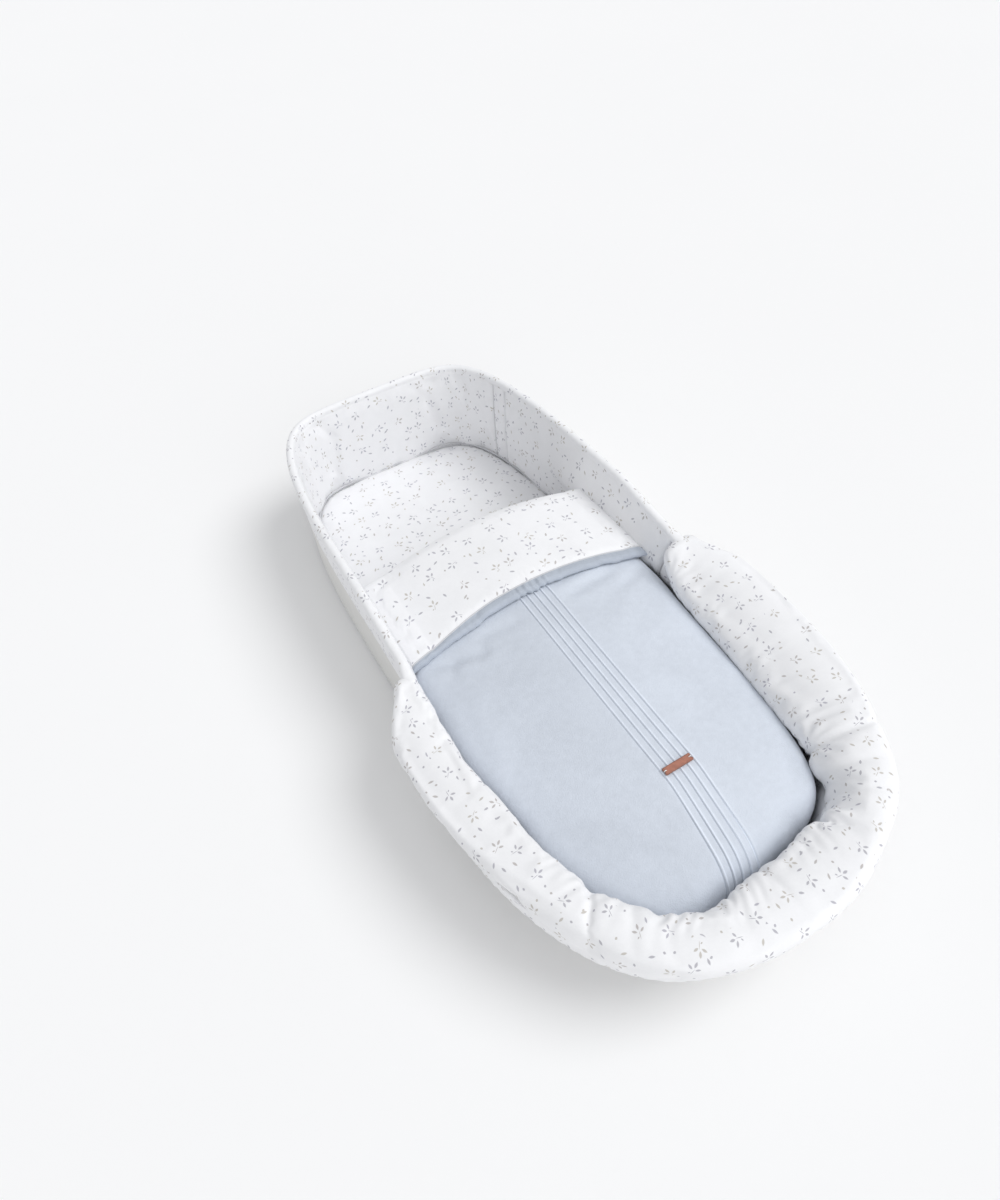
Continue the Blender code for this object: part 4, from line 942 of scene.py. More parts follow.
def microfibre(name, colour, tucked=False, bump=0.38):
    """Suede-look cloth. The tucked one has painted light: lighter to the right and towards the foot end, a painted
    highlight along each tuck's ridge and painted shade in each crease.
    """
    made, tree, shader = plain_material(name, 0.82, sheen=0.30)
    place = node(tree, "ShaderNodeUVMap", uv_map="cut")[0]
    nap = placed(tree, SUEDE, Place=place)
    tone = nap["Tone"]
    if tucked:
        split = node(tree, "ShaderNodeSeparateXYZ", {"Vector": place})
        # Painted light: the cloth's colour is made lighter to the right and towards the foot end, as if lit from the
        # right and the foot.
        painted_side_light = maths(tree, "ADD", ranged(tree, split[0], -0.16, 0.16, 0.955, 1.055),
                        ranged(tree, split[1], -0.46, -0.16, 0.085, 0.0))
        tone = maths(tree, "MULTIPLY", tone, painted_side_light)
        across = maths(tree, "ADD", split[0], 0.0003)
        inside = maths(tree, "LESS_THAN", maths(tree, "ABSOLUTE", across), TUCK_COUNT / 2 * TUCK_PITCH)
        turn = maths(tree, "FRACT", maths(tree, "ADD", maths(tree, "DIVIDE", across, TUCK_PITCH), TUCK_COUNT / 2))
        beside = maths(tree, "MULTIPLY", maths(tree, "SUBTRACT", turn, 0.5), TUCK_PITCH)
        # Painted highlight along the crest of each tuck, and painted shade in the crease beside it.
        painted_ridge_highlight = ranged(tree, maths(tree, "ABSOLUTE", maths(tree, "SUBTRACT", beside, 0.0010)), 0.0004, 0.0012, 0.20, 0.0)
        painted_crease_shade = ranged(tree, maths(tree, "ABSOLUTE", maths(tree, "ADD", beside, 0.0006)), 0.0003, 0.0009, 0.08, 0.0)
        change = maths(tree, "MULTIPLY", maths(tree, "SUBTRACT", painted_ridge_highlight, painted_crease_shade), inside)
        tone = maths(tree, "MULTIPLY", tone, maths(tree, "ADD", change, 1.0))
    feed(tree, shader.inputs["Base Color"], toned(tree, colour, tone))
    bumps = node(tree, "ShaderNodeBump", {"Strength": bump, "Distance": 0.0008, "Height": nap["Height"]})
    feed(tree, shader.inputs["Normal"], bumps[0])
    return made


MICROFIBRE = microfibre("blue_microfibre", BLUE)
TUCKED_MICROFIBRE = microfibre("tucked_microfibre", BLUE, tucked=True)


def cover_crown(y):
    """Rise of the cover's middle above its edges: most near the fold, less at the hinge."""
    return COVER_CROWN_FOOT + (COVER_CROWN_HEAD - COVER_CROWN_FOOT) * smooth_step((y - HINGE_Y) / (FOLD_Y - HINGE_Y))


def end_drop(y):
    """Fall of the cover's top where it rounds over at the foot."""
    over = np.clip(COVER_END_RADIUS - (COVER_END_REACH - (WIDEST_Y - y)), 0, COVER_END_RADIUS)
    return COVER_END_RADIUS - np.sqrt(COVER_END_RADIUS ** 2 - over ** 2)


def tuck_columns():
    """Places across the tucks, and the height of the cloth there."""
    places, heights = [], []
    for number in range(TUCK_COUNT):
        middle = (number - (TUCK_COUNT - 1) / 2) * TUCK_PITCH
        places += [middle + offset for offset in TUCK_OFFSETS]
        heights += list(TUCK_HEIGHTS)
    return np.array(places), np.array(heights)


STRAIGHT_ROWS = 60
END_ROWS = 24
HEM_ROWS = 8


def cover_rows():
    """Places along the cover: even steps, then closer ones round the foot end."""
    straight = np.linspace(FOLD_Y, WIDEST_Y - 0.200, STRAIGHT_ROWS)
    turn = np.linspace(0, 1, END_ROWS)[1:]
    reach = 0.200 + (COVER_END_REACH * 0.9975 - 0.200) * np.sin(turn * np.pi / 2) ** 0.9
    return np.concatenate([straight, WIDEST_Y - reach])


def cover_layer(depth):
    """Grid of points over the cover, depth below its outer face, down both sides and the foot end."""
    rows = []
    tuck_x = tuck_columns()[0]
    for y in cover_rows():
        half_flat = cover_half(y) - COVER_EDGE_RADIUS
        drop = end_drop(y)
        shoulder = COVER_EDGE_Z - COVER_EDGE_RADIUS - drop
        radius = COVER_EDGE_RADIUS - depth
        squeeze = min(1.0, 0.88 * half_flat / tuck_x[-1])
        middle = tuck_x * squeeze - TUCK_DRIFT * np.clip((-0.268 - y) / 0.105, 0, 1) ** 1.2
        left = middle[0] + (-half_flat - middle[0]) * np.linspace(1, 0, COVER_TOP_POINTS + 1)[:-1]
        right = middle[-1] + (half_flat - middle[-1]) * np.linspace(0, 1, COVER_TOP_POINTS + 1)[1:]
        top_x = np.concatenate([left, middle, right])
        crown = cover_crown(y) * (1 - (top_x / half_flat) ** 2)
        top = np.stack([top_x, np.full(len(top_x), y), COVER_EDGE_Z - depth - drop + crown], -1)
        turns = np.linspace(np.pi / 2, 0, COVER_ROUND_POINTS + 1)[1:]
        bend = np.stack([half_flat + radius * np.cos(turns), np.full(len(turns), y), shoulder + radius * np.sin(turns)], -1)
        down = np.linspace(shoulder, COVER_HEM_Z, COVER_SIDE_POINTS + 1)[1:]
        side = np.stack([np.full(len(down), half_flat + radius), np.full(len(down), y), down], -1)
        edge = np.concatenate([bend, side])
        rows.append(np.concatenate([edge[::-1] * (-1, 1, 1), top, edge]))
    last_reach = WIDEST_Y - COVER_END_REACH * 0.9975
    for share in np.linspace(0, 1, HEM_ROWS + 1)[1:]:
        last = rows[STRAIGHT_ROWS + END_ROWS - 2].copy()
        last[:, 1] = last_reach + depth - 0.0009 * np.sin(share * np.pi / 2)
        last[:, 2] = last[:, 2] + (COVER_HEM_Z - last[:, 2]) * share
        rows.append(last)
    return np.array(rows)


def slack_folds(x, y):
    """Height of the soft folds that lie below the cuff, where the cover's cloth is slack."""
    height = np.zeros(x.shape)
    for middle_x, middle_y, degrees, length, width, lift in SLACK_FOLDS:
        turn = np.radians(degrees)
        along = (x - middle_x) * np.cos(turn) + (y - middle_y) * np.sin(turn)
        across = (y - middle_y) * np.cos(turn) - (x - middle_x) * np.sin(turn)
        height += lift * np.exp(-(along / length) ** 4 - (across / width) ** 2)
    return height


def outline(x, y, angles):
    """Distance from the fill centre to an outline, by angle from the foot direction."""
    turned = np.arctan2(x, FILL_CENTRE_Y - y)
    order = np.argsort(turned)
    return np.interp(angles, turned[order], np.hypot(x, FILL_CENTRE_Y - y)[order])


def filled_out(points, low):
    """Padding pushes the cover's edge out to the roll, all along the left and round the foot end."""
    x, y, z = points[..., 0].copy(), points[..., 1].copy(), points[..., 2]
    stations = np.linspace(-0.500, 0.090, 300)
    roll = rim(stations, -roll_reach(stations) - FILL_CLEARANCE, 0.0)
    edge_y = np.linspace(FOLD_Y, WIDEST_Y - COVER_END_REACH, 600)
    edge_x = cover_half(edge_y)
    round_foot = y < FILL_CENTRE_Y
    angles = np.arctan2(x, FILL_CENTRE_Y - y)
    to_edge = outline(np.concatenate([-edge_x, edge_x]), np.concatenate([edge_y, edge_y]), angles)
    foot_gap = (outline(roll[:, 0], roll[:, 1], angles) - to_edge) * (1 - smooth_step((angles - 0.22) / 0.14))
    left_roll = stations < -0.20
    side_gap = np.interp(y, roll[left_roll, 1][::-1], -roll[left_roll, 0][::-1]) - cover_half(y)
    side_gap = np.where(x < 0, side_gap - 0.009 * smooth_step((y + 0.010) / 0.030),
                        0.0026 * smooth_step((y + 0.080) / 0.050))
    gap = np.where(round_foot, foot_gap, side_gap)
    share = np.where(round_foot, np.hypot(x, FILL_CENTRE_Y - y) / to_edge, np.abs(x) / np.maximum(cover_half(y), 1e-4))
    lowest = low - 0.022 * smooth_step((-0.325 - y) / 0.030)
    amount = gap * smooth_step((share - 0.5) / 0.5) * smooth_step((z - lowest) / 0.010)
    points[..., 0] += amount * np.where(round_foot, np.sin(angles), np.sign(x))
    points[..., 1] -= amount * np.where(round_foot, np.cos(angles), 0.0)
    return points


def cover():
    outer = filled_out(cover_layer(0.0), 0.0740)
    inner = filled_out(cover_layer(COVER_DEPTH), 0.0765)
    steps = np.linalg.norm(np.diff(outer, axis=1), axis=-1)
    across = np.concatenate([np.zeros((len(outer), 1)), np.cumsum(steps, axis=1)], axis=1)
    middle = across.shape[1] // 2
    across -= across[:, middle][:, None]
    along = np.concatenate([[0.0], np.cumsum(np.linalg.norm(np.diff(outer[:, middle], axis=0), axis=-1))])
    flat = np.stack(np.broadcast_arrays(across, -along[:, None]), -1)
    pattern = Pattern()
    face = pattern.panel(outer, flat, 0, flip=True)
    lining = pattern.panel(inner, flat + (0.0, 1.0), 1)
    lip = []
    for turn in np.linspace(0, np.pi / 2, 6)[1:]:
        lip.append(inner[0] + np.array([0.0, 0.0085 * np.sin(turn), 0.0095 * (1 - np.cos(turn))]))
    lip = np.array(lip)
    lip_flat = np.stack([flat[0] + (0.0, 1.0 + 0.0022 * (row + 1)) for row in range(len(lip))])
    lip_numbers = pattern.panel(lip, lip_flat, 1, flip=True)
    pattern.join(np.stack([lining[0], lip_numbers[0]]), np.stack([flat[0] + (0.0, 1.0), lip_flat[0]]), 1, flip=True)
    pattern.join(np.stack([lip_numbers[-1], face[0]]), np.stack([lip_flat[-1], lip_flat[-1] + (0.0, 0.01)]), 1, flip=True)
    pattern.join(np.stack([face[-1], lining[-1]]), np.stack([flat[-1], flat[-1] + (0.0, 0.009)]), 0, flip=True)
    for edge, turned in ((0, False), (-1, True)):
        pattern.join(np.stack([face[:, edge], lining[:, edge]]), np.stack([flat[:, edge], flat[:, edge] + (0.009, 0.0)]), 0, flip=turned)
        ring = [int(lining[0, edge])] + [int(row[edge]) for row in lip_numbers] + [int(face[0, edge])]
        pattern.cap(ring, [flat[0, edge]] * len(ring), 0, flip=turned)
    piece = pattern.made("zip_cover", TUCKED_MICROFIBRE, PRINT_COTTON)
    rows, columns = outer.shape[:2]
    side_columns = COVER_SIDE_POINTS + COVER_ROUND_POINTS + COVER_TOP_POINTS
    held = np.zeros((rows, columns))
    held[:, side_columns:-side_columns] = 1.0
    held[:, :4] = held[:, -4:] = 1.0
    held[:1] = held[-4:] = 1.0
    everything = np.ones(len(piece.data.vertices))
    everything[:rows * columns] = held.ravel()
    swell(piece, everything, 1.4, 0.0030, frames=14, stiffness=10.0, bending=0.6, slack=0.006)
    points = points_of(piece.data)
    normals = np.empty(len(points) * 3)
    piece.data.vertices.foreach_get("normal", normals)
    normals = normals.reshape(-1, 3)[:rows * columns].reshape(rows, columns, 3)
    grid = points[:rows * columns].reshape(rows, columns, 3)
    lift = slack_folds(grid[..., 0], grid[..., 1]) * (normals[..., 2] > 0.3)
    fade = 1 - smooth_step((np.arange(rows) - (rows - 6)) / 5)
    lift[:, side_columns:-side_columns] += tuck_columns()[1][None] * fade[:, None]
    points[:rows * columns] += (normals * lift[..., None]).reshape(-1, 3)
    piece.data.vertices.foreach_set("co", points.ravel())
    soften(piece)
    return piece


cover_piece = cover()
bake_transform(cover_piece)
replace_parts(cover_piece, "cover_outer", "cover_wadding", "cover_lining", "foot_end_outer", "foot_end_wadding",
            "foot_end_lining")

# Label: a small tag of tan leather across the tucks, punched and notched at both ends.
# A white thread holds each end, and the face is left bare.
LABEL_HALF_LENGTH = 0.0170
LABEL_HALF_WIDTH = 0.00425
LABEL_THICKNESS = 0.0014
LABEL_Y = WIDEST_Y - 0.196
LABEL_Z = COVER_EDGE_Z + float(cover_crown(LABEL_Y + 0.0085)) + TUCK_RISE + 0.0003


def leather(name):
    made, tree, shader = plain_material(name, 0.55)
    solid = node(tree, "ShaderNodeTexCoord")["Object"]
    grain = node(tree, "ShaderNodeTexVoronoi", {"Vector": solid, "Scale": 1900.0}, feature="SMOOTH_F1")["Distance"]
    patches = node(tree, "ShaderNodeTexNoise", {"Vector": solid, "Scale": 240.0, "Detail": 4.0})["Fac"]
    tone = ranged(tree, maths(tree, "ADD", patches, maths(tree, "MULTIPLY", grain, 0.3)), 0.3, 0.95, 0.66, 1.22)
    x, y, _ = node(tree, "ShaderNodeSeparateXYZ", {"Vector": node(tree, "ShaderNodeUVMap", uv_map="cut")[0]})
    edges = maths(tree, "MAXIMUM", ranged(tree, maths(tree, "ABSOLUTE", x), 0.0145, 0.0170),
                  ranged(tree, maths(tree, "ABSOLUTE", maths(tree, "SUBTRACT", y, LABEL_Y)), 0.0028, 0.0043))
    tone = maths(tree, "MULTIPLY", tone, ranged(tree, edges, 0.0, 1.0, 1.0, 0.62))
    feed(tree, shader.inputs["Base Color"], toned(tree, (0.420, 0.175, 0.120), tone))
    feed(tree, shader.inputs["Roughness"], ranged(tree, patches, 0.3, 0.7, 0.48, 0.66))
    bumps = node(tree, "ShaderNodeBump", {"Strength": 0.5, "Distance": 0.0003, "Height": grain})
    feed(tree, shader.inputs["Normal"], bumps[0])
    return made


def label_outline():
    """Half of the tag's edge, from one notch to the other along its far side."""
    long, wide = LABEL_HALF_LENGTH, LABEL_HALF_WIDTH
    return [(-long + 0.0018, 0.0), (-long, wide * 0.42), (-long + 0.0003, wide * 0.88), (-long + 0.0010, wide),
            (-long * 0.5, wide * 0.985), (0.0, wide), (long * 0.5, wide * 0.985), (long - 0.0010, wide),
            (long - 0.0003, wide * 0.88), (long, wide * 0.42), (long - 0.0018, 0.0)]


def label():
    upper = label_outline()
    outline = np.array(upper + [(x, -y) for x, y in upper[-2:0:-1]])
    pattern = Pattern()
    rings = []
    for inset, height in ((0.0003, 0.0), (0.0, 0.0003), (0.0, LABEL_THICKNESS - 0.0004), (0.0003, LABEL_THICKNESS),
                          (0.0012, LABEL_THICKNESS - 0.0001)):
        scale = np.array([1 - inset / LABEL_HALF_LENGTH, 1 - inset / LABEL_HALF_WIDTH])
        cut = outline * scale
        rings.append(np.column_stack([cut[:, 0], cut[:, 1] + LABEL_Y, np.full(len(cut), LABEL_Z + height)]))
    rings = np.array(rings)
    places = np.concatenate([rings, rings[:, :1]], axis=1)[..., :2]
    numbers = pattern.panel(rings, places, closed=True, flip=True)
    pattern.cap(numbers[0, :-1], places[0])
    pattern.cap(numbers[-1, :-1], places[-1], flip=True)
    return pattern.made("tan_label", leather("tan_leather"))


def rod(points, radius, name, material, sides=6):
    """Thread or wire along a row of points."""
    points = np.array(points, float)
    ahead = np.gradient(points, axis=0)
    ahead /= np.linalg.norm(ahead, axis=1, keepdims=True)
    aside = np.cross(ahead, (0.0, 0.0, 1.0))
    aside = np.where(np.linalg.norm(aside, axis=1, keepdims=True) < 1e-6, (1.0, 0.0, 0.0), aside)
    aside /= np.linalg.norm(aside, axis=1, keepdims=True)
    above = np.cross(aside, ahead)
    turns = np.linspace(0, 2 * np.pi, sides, endpoint=False)
    rings = points[:, None] + radius * (np.cos(turns)[None, :, None] * aside[:, None] + np.sin(turns)[None, :, None] * above[:, None])
    places = np.zeros((len(points), sides + 1, 2))
    pattern = Pattern()
    numbers = pattern.panel(rings, places, closed=True)
    pattern.cap(numbers[0, :-1], places[0], flip=True)
    pattern.cap(numbers[-1, :-1], places[-1])
    return pattern.made(name, material)


THREAD = cotton("white_thread", (0.86, 0.85, 0.82), False, rumple=0.2, thread=0.0003)
tag = label()
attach(tag, "cover")
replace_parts(tag, "leather_label")
for side, cad_name in ((-1, "left_label_stitch"), (1, "right_label_stitch")):
    arch = np.linspace(0, 1, 9)
    x = side * (LABEL_HALF_LENGTH - 0.0034)
    stitch = rod([(x + side * 0.0030 * share, LABEL_Y + 0.0002, LABEL_Z + LABEL_THICKNESS - 0.0003 + 0.0010 * np.sin(np.pi * share))
                  for share in arch], 0.00048, cad_name + "_thread", THREAD)
    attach(stitch, "cover")
    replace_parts(stitch, cad_name)

# Cuff: the cover's head end folded over, so that its printed lining shows, edged with the blue microfibre, drawn with a
# darker copy of it whose darkness is painted shade.
# A thin grey piping divides the print from the border, and the tucks' stitching puckers the border.
CUFF_LENGTH = 0.1330
CUFF_SIDE_GROWTH = 0.0100
CUFF_BORDER = 0.0122
CUFF_BORDER_TAPER = 0.55
CUFF_PIPING = 0.0018
CUFF_OVERHANG = 0.0080
CUFF_LEFT_OVERHANG = 0.0145
CUFF_DROOP = 0.0070
CUFF_LOW = 0.0006
CUFF_HIGH = 0.0083
CUFF_REACH = 0.0085
# The border's cloth is the cover's blue made darker: painted shade.
SHADED_BORDER_MICROFIBRE = microfibre("border_microfibre_painted_shade", (0.450, 0.495, 0.565))


def cuff_points(x_share, along, lift):
    """Points on the cuff: along is the length from the fold, and it lies on the cover's crown."""
    overhang = np.where(x_share < 0, CUFF_LEFT_OVERHANG, CUFF_OVERHANG)
    border = CUFF_BORDER * (1 - CUFF_BORDER_TAPER * smooth_step((-x_share - 0.25) / 0.70))
    along = np.where(along < CUFF_LENGTH - CUFF_BORDER, along * (CUFF_LENGTH - border) / (CUFF_LENGTH - CUFF_BORDER),
                     CUFF_LENGTH - (CUFF_LENGTH - along) * border / CUFF_BORDER)
    x = x_share * (COVER_HALF_WIDTH + overhang)
    y = FOLD_Y - along * (1 + CUFF_SIDE_GROWTH / CUFF_LENGTH * x_share ** 2)
    half_flat = COVER_HALF_WIDTH - COVER_EDGE_RADIUS
    inside = np.minimum(np.abs(x) / half_flat, 1.0)
    over = np.clip((np.abs(x) - half_flat) / (COVER_HALF_WIDTH + overhang - half_flat), 0, 1)
    close = np.sqrt(np.clip(1 - np.clip((np.abs(x_share) - 0.965) / 0.035, 0, 1) ** 2, 0.04, 1))
    middle = (CUFF_LOW + CUFF_HIGH) / 2
    z = COVER_EDGE_Z + cover_crown(y) * (1 - inside ** 2) + TUCK_RISE + middle + (lift - middle) * close
    return np.stack(np.broadcast_arrays(x, y, z - CUFF_DROOP * over ** 2), -1)


def cuff_rows():
    """Length from the fold, height, forward reach and finish of each row round the cuff's section."""
    border_from = CUFF_LENGTH - CUFF_BORDER
    piping_from = border_from - CUFF_PIPING
    rows = [(0.0, CUFF_HIGH - 0.0093 * (1 - np.sin(turn)), CUFF_REACH * np.cos(turn), 0)
            for turn in np.linspace(0, np.pi / 2, 6)[:-1]]
    for along in np.linspace(0.0, piping_from - 0.0008, 26):
        rows.append((along, CUFF_HIGH + 0.0010 * np.sin(np.pi * along / piping_from) ** 0.5, 0.0, 0))
    rows += [(piping_from, CUFF_HIGH - 0.0009, 0.0, 2), (piping_from + CUFF_PIPING * 0.3, CUFF_HIGH + 0.0005, 0.0, 2),
             (piping_from + CUFF_PIPING * 0.7, CUFF_HIGH + 0.0005, 0.0, 2), (border_from, CUFF_HIGH - 0.0009, 0.0, 1)]
    for share in (0.08, 0.22, 0.4, 0.58, 0.72):
        rows.append((border_from + CUFF_BORDER * share, CUFF_HIGH - 0.0002 + 0.0010 * np.sin(np.pi * share), 0.0, 1))
    middle, half = (CUFF_HIGH + CUFF_LOW) / 2, (CUFF_HIGH - CUFF_LOW) / 2
    for turn in np.linspace(0.15, np.pi - 0.15, 7):
        rows.append((CUFF_LENGTH - 0.0036 + 0.0036 * np.sin(turn), middle + half * np.cos(turn), 0.0, 1))
    rows += [(along, CUFF_LOW, 0.0, 1) for along in np.linspace(CUFF_LENGTH - 0.006, 0.002, 14)]
    return rows


def border_puckers(x):
    """Height of the small ridges across the border: one over each tuck, and seeded ones beside them."""
    numbers = np.random.default_rng(7)
    height = np.zeros(x.shape)
    for number in range(TUCK_COUNT):
        middle = (number - (TUCK_COUNT - 1) / 2) * TUCK_PITCH + 0.001
        height += 0.0014 * np.exp(-((x - middle) / 0.0018) ** 2) - 0.0013 * np.exp(-((x - middle + 0.003) / 0.0014) ** 2)
    for place in numbers.uniform(-0.15, 0.15, 34):
        height += numbers.uniform(-0.0015, 0.0009) * np.exp(-((x - place) / 0.0042) ** 2)
    return height


def cuff():
    edge = 1 - np.array([0.0, 0.0015, 0.005, 0.010, 0.018, 0.027, 0.037])
    wide = np.linspace(-0.95, 0.95, 190)
    x_share = np.concatenate([-edge, wide, edge[::-1]])[None]
    rows = cuff_rows()
    grid = np.array([cuff_points(x_share, np.full_like(x_share, along), lift)[0] + (0.0, reach, 0.0)
                     for along, lift, reach, _ in rows])
    middle = grid.shape[1] // 2
    lengths = np.concatenate([[0.0], np.cumsum(np.linalg.norm(np.diff(grid[:, middle], axis=0), axis=-1))])
    flat = np.stack(np.broadcast_arrays(grid[..., 0], -lengths[:, None] + 2.0), -1)
    along = np.array([row[0] for row in rows])[:, None]
    outer_side = (np.arange(len(rows)) < len(rows) - 15)[:, None]
    border_from = CUFF_LENGTH - CUFF_BORDER
    on_border = smooth_step((along - border_from) / 0.003) * outer_side
    slack = 0.0008 * np.sin(grid[..., 0] * 46 + 1.0) * np.sin(np.pi * np.clip(along / border_from, 0, 1)) * outer_side
    grid[..., 2] += border_puckers(grid[..., 0]) * on_border + slack
    grid[..., 1] += 0.6 * border_puckers(grid[..., 0] + 0.001) * smooth_step((along - CUFF_LENGTH + 0.006) / 0.005)
    pattern = Pattern()
    numbers = np.arange(grid.shape[0] * grid.shape[1]).reshape(grid.shape[:2])
    pattern.points.extend(grid.reshape(-1, 3).tolist())
    for index in range(len(grid) - 1):
        pattern.join(numbers[index:index + 2], flat[index:index + 2], rows[index][3], flip=True)
    pattern.join(np.stack([numbers[-1], numbers[0]]), flat[-2:], 1, flip=True)
    pattern.cap(numbers[:, 0], flat[:, 0], 1)
    pattern.cap(numbers[:, -1], flat[:, -1], 1, flip=True)
    piece = pattern.made("folded_cuff", PRINT_COTTON, SHADED_BORDER_MICROFIBRE, GREY_PIPING_WITH_PAINTED_SHADE)
    held = np.ones(grid.shape[:2])
    held[6:30, 10:-10] = 0.0
    swell(piece, held.ravel(), 2.0, 0.0016, frames=12, stiffness=8.0, bending=0.3, slack=0.012)
    soften(piece)
    return piece


cuff_piece = cuff()
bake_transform(cuff_piece)
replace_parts(cuff_piece, "cuff_face", "cuff_wadding", "cuff_back", "cuff_border", "cuff_piping")

# Side zips: woven tapes with coil teeth, one sewn to the wall and one under the cover's hem, on each side.
# The nickel slider runs on the liner's coil and its puller turns under the bridge.
ZIP_Z = 0.0450
ZIP_X = 0.1575
ZIP_HALF_GAP = 0.0006
COIL_WIDTH = 0.0022
COIL_HEIGHT = 0.0020
TAPE_THICKNESS = 0.0006
TAPE_BLUE = (0.40, 0.47, 0.53)
TOOTH_PITCH = 0.0016


def tape_material():
    made, tree, shader = plain_material("zip_tape", 0.85, sheen=0.1)
    place = node(tree, "ShaderNodeUVMap", uv_map="cut")[0]
    x, y, _ = node(tree, "ShaderNodeSeparateXYZ", {"Vector": place})
    slope = maths(tree, "ADD", maths(tree, "DIVIDE", x, 0.0006), maths(tree, "DIVIDE", y, 0.0009))
    rib = maths(tree, "SINE", maths(tree, "MULTIPLY", slope, 2 * np.pi))
    feed(tree, shader.inputs["Base Color"], toned(tree, TAPE_BLUE, ranged(tree, rib, -1.0, 1.0, 0.86, 1.08)))
    bumps = node(tree, "ShaderNodeBump", {"Strength": 0.4, "Distance": 0.0002, "Height": rib})
    feed(tree, shader.inputs["Normal"], bumps[0])
    return made


ZIP_TAPE = tape_material()


def tooth_material():
    made, tree, shader = plain_material("coil_teeth", 0.38)
    solid = node(tree, "ShaderNodeTexCoord")["Object"]
    speck = node(tree, "ShaderNodeTexNoise", {"Vector": solid, "Scale": 900.0, "Detail": 2.0})["Fac"]
    feed(tree, shader.inputs["Base Color"], toned(tree, TAPE_BLUE, ranged(tree, speck, 0.3, 0.7, 0.88, 1.10)))
    feed(tree, shader.inputs["Roughness"], ranged(tree, speck, 0.3, 0.7, 0.32, 0.45))
    return made


COIL_TEETH = tooth_material()


def nickel_material():
    made, tree, shader = plain_material("zip_nickel", 0.26, metallic=1.0)
    solid = node(tree, "ShaderNodeTexCoord")["Object"]
    wear = node(tree, "ShaderNodeTexNoise", {"Vector": solid, "Scale": 700.0, "Detail": 5.0, "Roughness": 0.7})["Fac"]
    feed(tree, shader.inputs["Base Color"], toned(tree, (0.60, 0.60, 0.60), ranged(tree, wear, 0.3, 0.7, 0.90, 1.08)))
    feed(tree, shader.inputs["Roughness"], ranged(tree, wear, 0.3, 0.75, 0.20, 0.40))
    bumps = node(tree, "ShaderNodeBump", {"Strength": 0.15, "Distance": 0.0001, "Height": wear})
    feed(tree, shader.inputs["Normal"], bumps[0])
    return made


ZIP_NICKEL = nickel_material()


def edge_lines(node_name):
    """The two long edges of a CAD strip as x by y, from where its own edges cross each y."""
    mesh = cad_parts[node_name].data
    points = points_of(mesh)
    ends = points[np.array([edge.vertices[:] for edge in mesh.edges])]
    ends = ends[np.abs(ends[:, 1, 1] - ends[:, 0, 1]) > 1e-6]
    ys = np.linspace(points[:, 1].min() + 1e-5, points[:, 1].max() - 1e-5, int(np.ptp(points[:, 1]) / 0.002) + 2)
    shares = (ys[:, None] - ends[:, 0, 1]) / (ends[:, 1, 1] - ends[:, 0, 1])
    x = ends[:, 0, 0] + shares * (ends[:, 1, 0] - ends[:, 0, 0])
    crossing = (shares >= 0) & (shares <= 1)
    return ys, np.where(crossing, x, np.inf).min(axis=1), np.where(crossing, x, -np.inf).max(axis=1)


def tape_strip(node_name, body):
    """Woven tape over its whole length, a little thicker at its two edges."""
    ys, low, high = edge_lines(node_name)
    fine = np.linspace(ys[0], ys[-1], max(2, int((ys[-1] - ys[0]) / 0.004)))
    shares = np.array([0.0, 0.06, 0.2, 0.5, 0.8, 0.94, 1.0])
    x_low, x_high = np.interp(fine, ys, low), np.interp(fine, ys, high)
    x = x_low[:, None] + (x_high - x_low)[:, None] * shares[None]
    y = np.repeat(fine[:, None], len(shares), axis=1)
    flat = np.stack([x - x_low[:, None], y], -1)
    half = TAPE_THICKNESS / 2 * np.array([0.7, 1.0, 0.85, 0.85, 0.85, 1.0, 0.7])[None]
    pattern = Pattern()
    upper = pattern.panel(np.stack([x, y, ZIP_Z + half + 0 * x], -1), flat)
    lower = pattern.panel(np.stack([x, y, ZIP_Z - half + 0 * x], -1), flat, flip=True)
    for place, turned in ((0, False), (-1, True)):
        pattern.join(np.stack([upper[place], lower[place]]), np.stack([flat[place]] * 2), flip=not turned)
        pattern.join(np.stack([upper[:, place], lower[:, place]]), np.stack([flat[:, place]] * 2), flip=turned)
    piece = pattern.made(node_name + "_woven", ZIP_TAPE)
    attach(piece, body)
    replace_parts(piece, node_name)
    return piece


def coil(node_name, body):
    """Row of coil teeth: each one a small rounded loop that leans towards the next."""
    ys, low, high = edge_lines(node_name)
    middles = np.arange(ys[0] + TOOTH_PITCH / 2, ys[-1] - TOOTH_PITCH / 2, TOOTH_PITCH)
    turns = np.linspace(0, 2 * np.pi, 8, endpoint=False)
    pattern = Pattern()
    for y in middles:
        x0, x1 = np.interp(y, ys, low), np.interp(y, ys, high)
        rings = []
        for share, size in ((0.0, 0.55), (0.12, 0.95), (0.88, 0.95), (1.0, 0.55)):
            x = x0 + (x1 - x0) * share
            ring = np.stack([np.full(8, x), y + 0.00052 * size * np.cos(turns) + (share - 0.5) * 0.0003,
                             ZIP_Z + COIL_HEIGHT / 2 * size * np.sin(turns)], -1)
            rings.append(ring)
        places = np.zeros((4, 9, 2)) + (x0, y)
        numbers = pattern.panel(np.array(rings), places, closed=True, flip=True)
        pattern.cap(numbers[0, :-1], places[0])
        pattern.cap(numbers[-1, :-1], places[-1], flip=True)
    piece = pattern.made(node_name + "_teeth", COIL_TEETH)
    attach(piece, body)
    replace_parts(piece, node_name)
    return piece


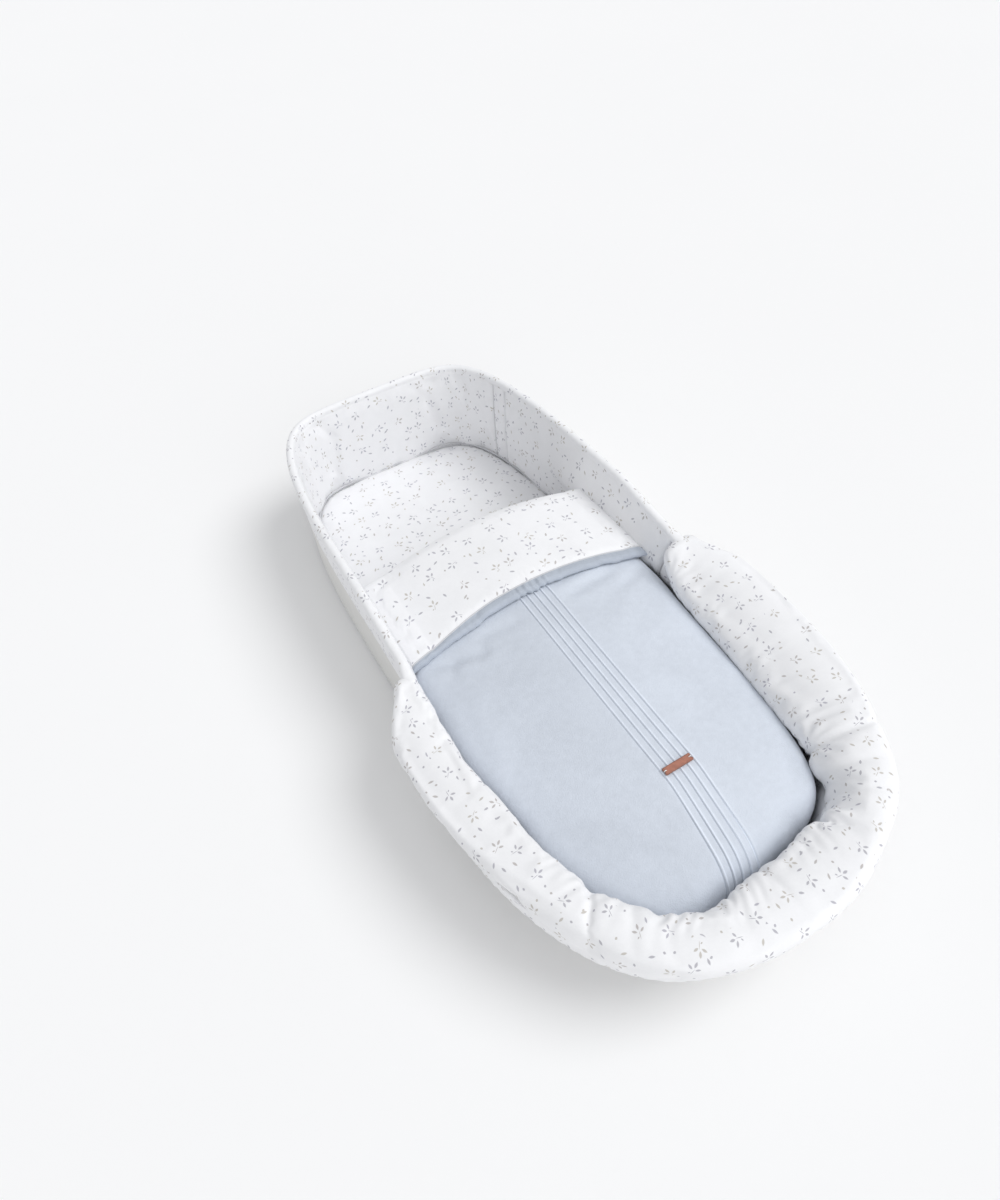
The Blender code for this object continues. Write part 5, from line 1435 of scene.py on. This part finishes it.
for side in ("left", "right"):
    tape_strip(side + "_liner_tape", "liner")
    tape_strip(side + "_cover_tape", "cover")
    coil(side + "_liner_coil", "liner")
    coil(side + "_cover_coil", "cover")
    for part in ("_slider", "_puller", "_zip_stop"):
        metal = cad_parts[side + part]
        metal.data.materials.clear()
        metal.data.materials.append(ZIP_NICKEL)
        rounding = metal.modifiers.new("rounded edges", "BEVEL")
        rounding.width = 0.00022
        rounding.segments = 2
        rounding.limit_method = "ANGLE"


def foot_tape():
    """Tape that joins the hem of the fixed foot end to the foot wall."""
    stations = np.linspace(-0.215, 0.215, 110)
    outer = rim(stations, -0.0316, ZIP_Z)
    inner = rim(stations, -0.0535, ZIP_Z)
    keep = inner[:, 1] < HINGE_Y - 0.0003
    outer, inner = outer[keep], inner[keep]
    shares = np.linspace(0, 1, 6)[None, :, None]
    top = outer[:, None] + (inner - outer)[:, None] * shares
    flat = np.stack(np.broadcast_arrays(stations[keep][:, None], 0.024 * shares[..., 0]), -1)
    pattern = Pattern()
    upper = pattern.panel(top + (0, 0, TAPE_THICKNESS / 2), flat, flip=False)
    lower = pattern.panel(top - (0, 0, TAPE_THICKNESS / 2), flat, flip=True)
    for place, turned in ((0, False), (-1, True)):
        pattern.join(np.stack([upper[place], lower[place]]), np.stack([flat[place]] * 2), flip=not turned)
        pattern.join(np.stack([upper[:, place], lower[:, place]]), np.stack([flat[:, place]] * 2), flip=turned)
    return pattern.made("foot_end_tape_woven", ZIP_TAPE)


foot_strip = foot_tape()
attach(foot_strip, "liner")
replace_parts(foot_strip, "foot_end_tape")

# Floor, backdrop and light: one plain pale sweep, a bright even surround and two soft lamps.
# Both shine from the foot end, the stronger one from the right, as the shading in the photograph shows.
FLOOR_COLOUR = (0.945, 0.945, 0.945)
FLOOR_SIZE = 8.0


def floor():
    pattern = Pattern()
    grid = np.stack(np.meshgrid(np.linspace(-FLOOR_SIZE, FLOOR_SIZE, 5), np.linspace(-FLOOR_SIZE, FLOOR_SIZE, 5)), -1)
    points = np.concatenate([grid, np.full((5, 5, 1), -0.0006)], axis=-1)
    pattern.panel(points, grid)
    made, tree, shader = plain_material("pale_floor", 0.9)
    solid = node(tree, "ShaderNodeTexCoord")["Object"]
    soft = node(tree, "ShaderNodeTexNoise", {"Vector": solid, "Scale": 2.0, "Detail": 2.0})["Fac"]
    feed(tree, shader.inputs["Base Color"], toned(tree, FLOOR_COLOUR, ranged(tree, soft, 0.3, 0.7, 0.995, 1.0)))
    return pattern.made("floor", made)


floor()
world = bpy.data.worlds.new("studio")
bpy.context.scene.world = world
world.use_nodes = True
studio = world.node_tree
surround = studio.nodes["Background"]
surround.inputs["Color"].default_value = (0.955, 0.965, 0.985, 1.0)
surround.inputs["Strength"].default_value = 0.56
backdrop = studio.nodes.new("ShaderNodeBackground")
backdrop.inputs["Color"].default_value = (0.950, 0.955, 0.962, 1.0)
backdrop.inputs["Strength"].default_value = 1.0
rays = node(studio, "ShaderNodeLightPath")
seen = maths(studio, "MAXIMUM", rays["Is Camera Ray"],
             maths(studio, "MAXIMUM", rays["Is Glossy Ray"], rays["Is Transmission Ray"]))
shown = node(studio, "ShaderNodeMixShader", {0: seen, 1: surround.outputs[0], 2: backdrop.outputs[0]})
feed(studio, studio.nodes["World Output"].inputs["Surface"], shown[0])


def soft_sun(name, toward, strength, spread):
    """Distant lamp with soft shadows, shining along a direction."""
    lamp = bpy.data.objects.new(name, bpy.data.lights.new(name, "SUN"))
    lamp.data.energy = strength
    lamp.data.angle = np.radians(spread)
    lamp.rotation_euler = Vector(toward).to_track_quat("-Z", "Y").to_euler()
    bpy.context.scene.collection.objects.link(lamp)


soft_sun("key", (-1.15, 0.62, -1.80), 1.28, 32)
soft_sun("fill", (0.05, 1.0, -0.60), 0.72, 60)
bpy.context.scene.view_settings.view_transform = "Standard"
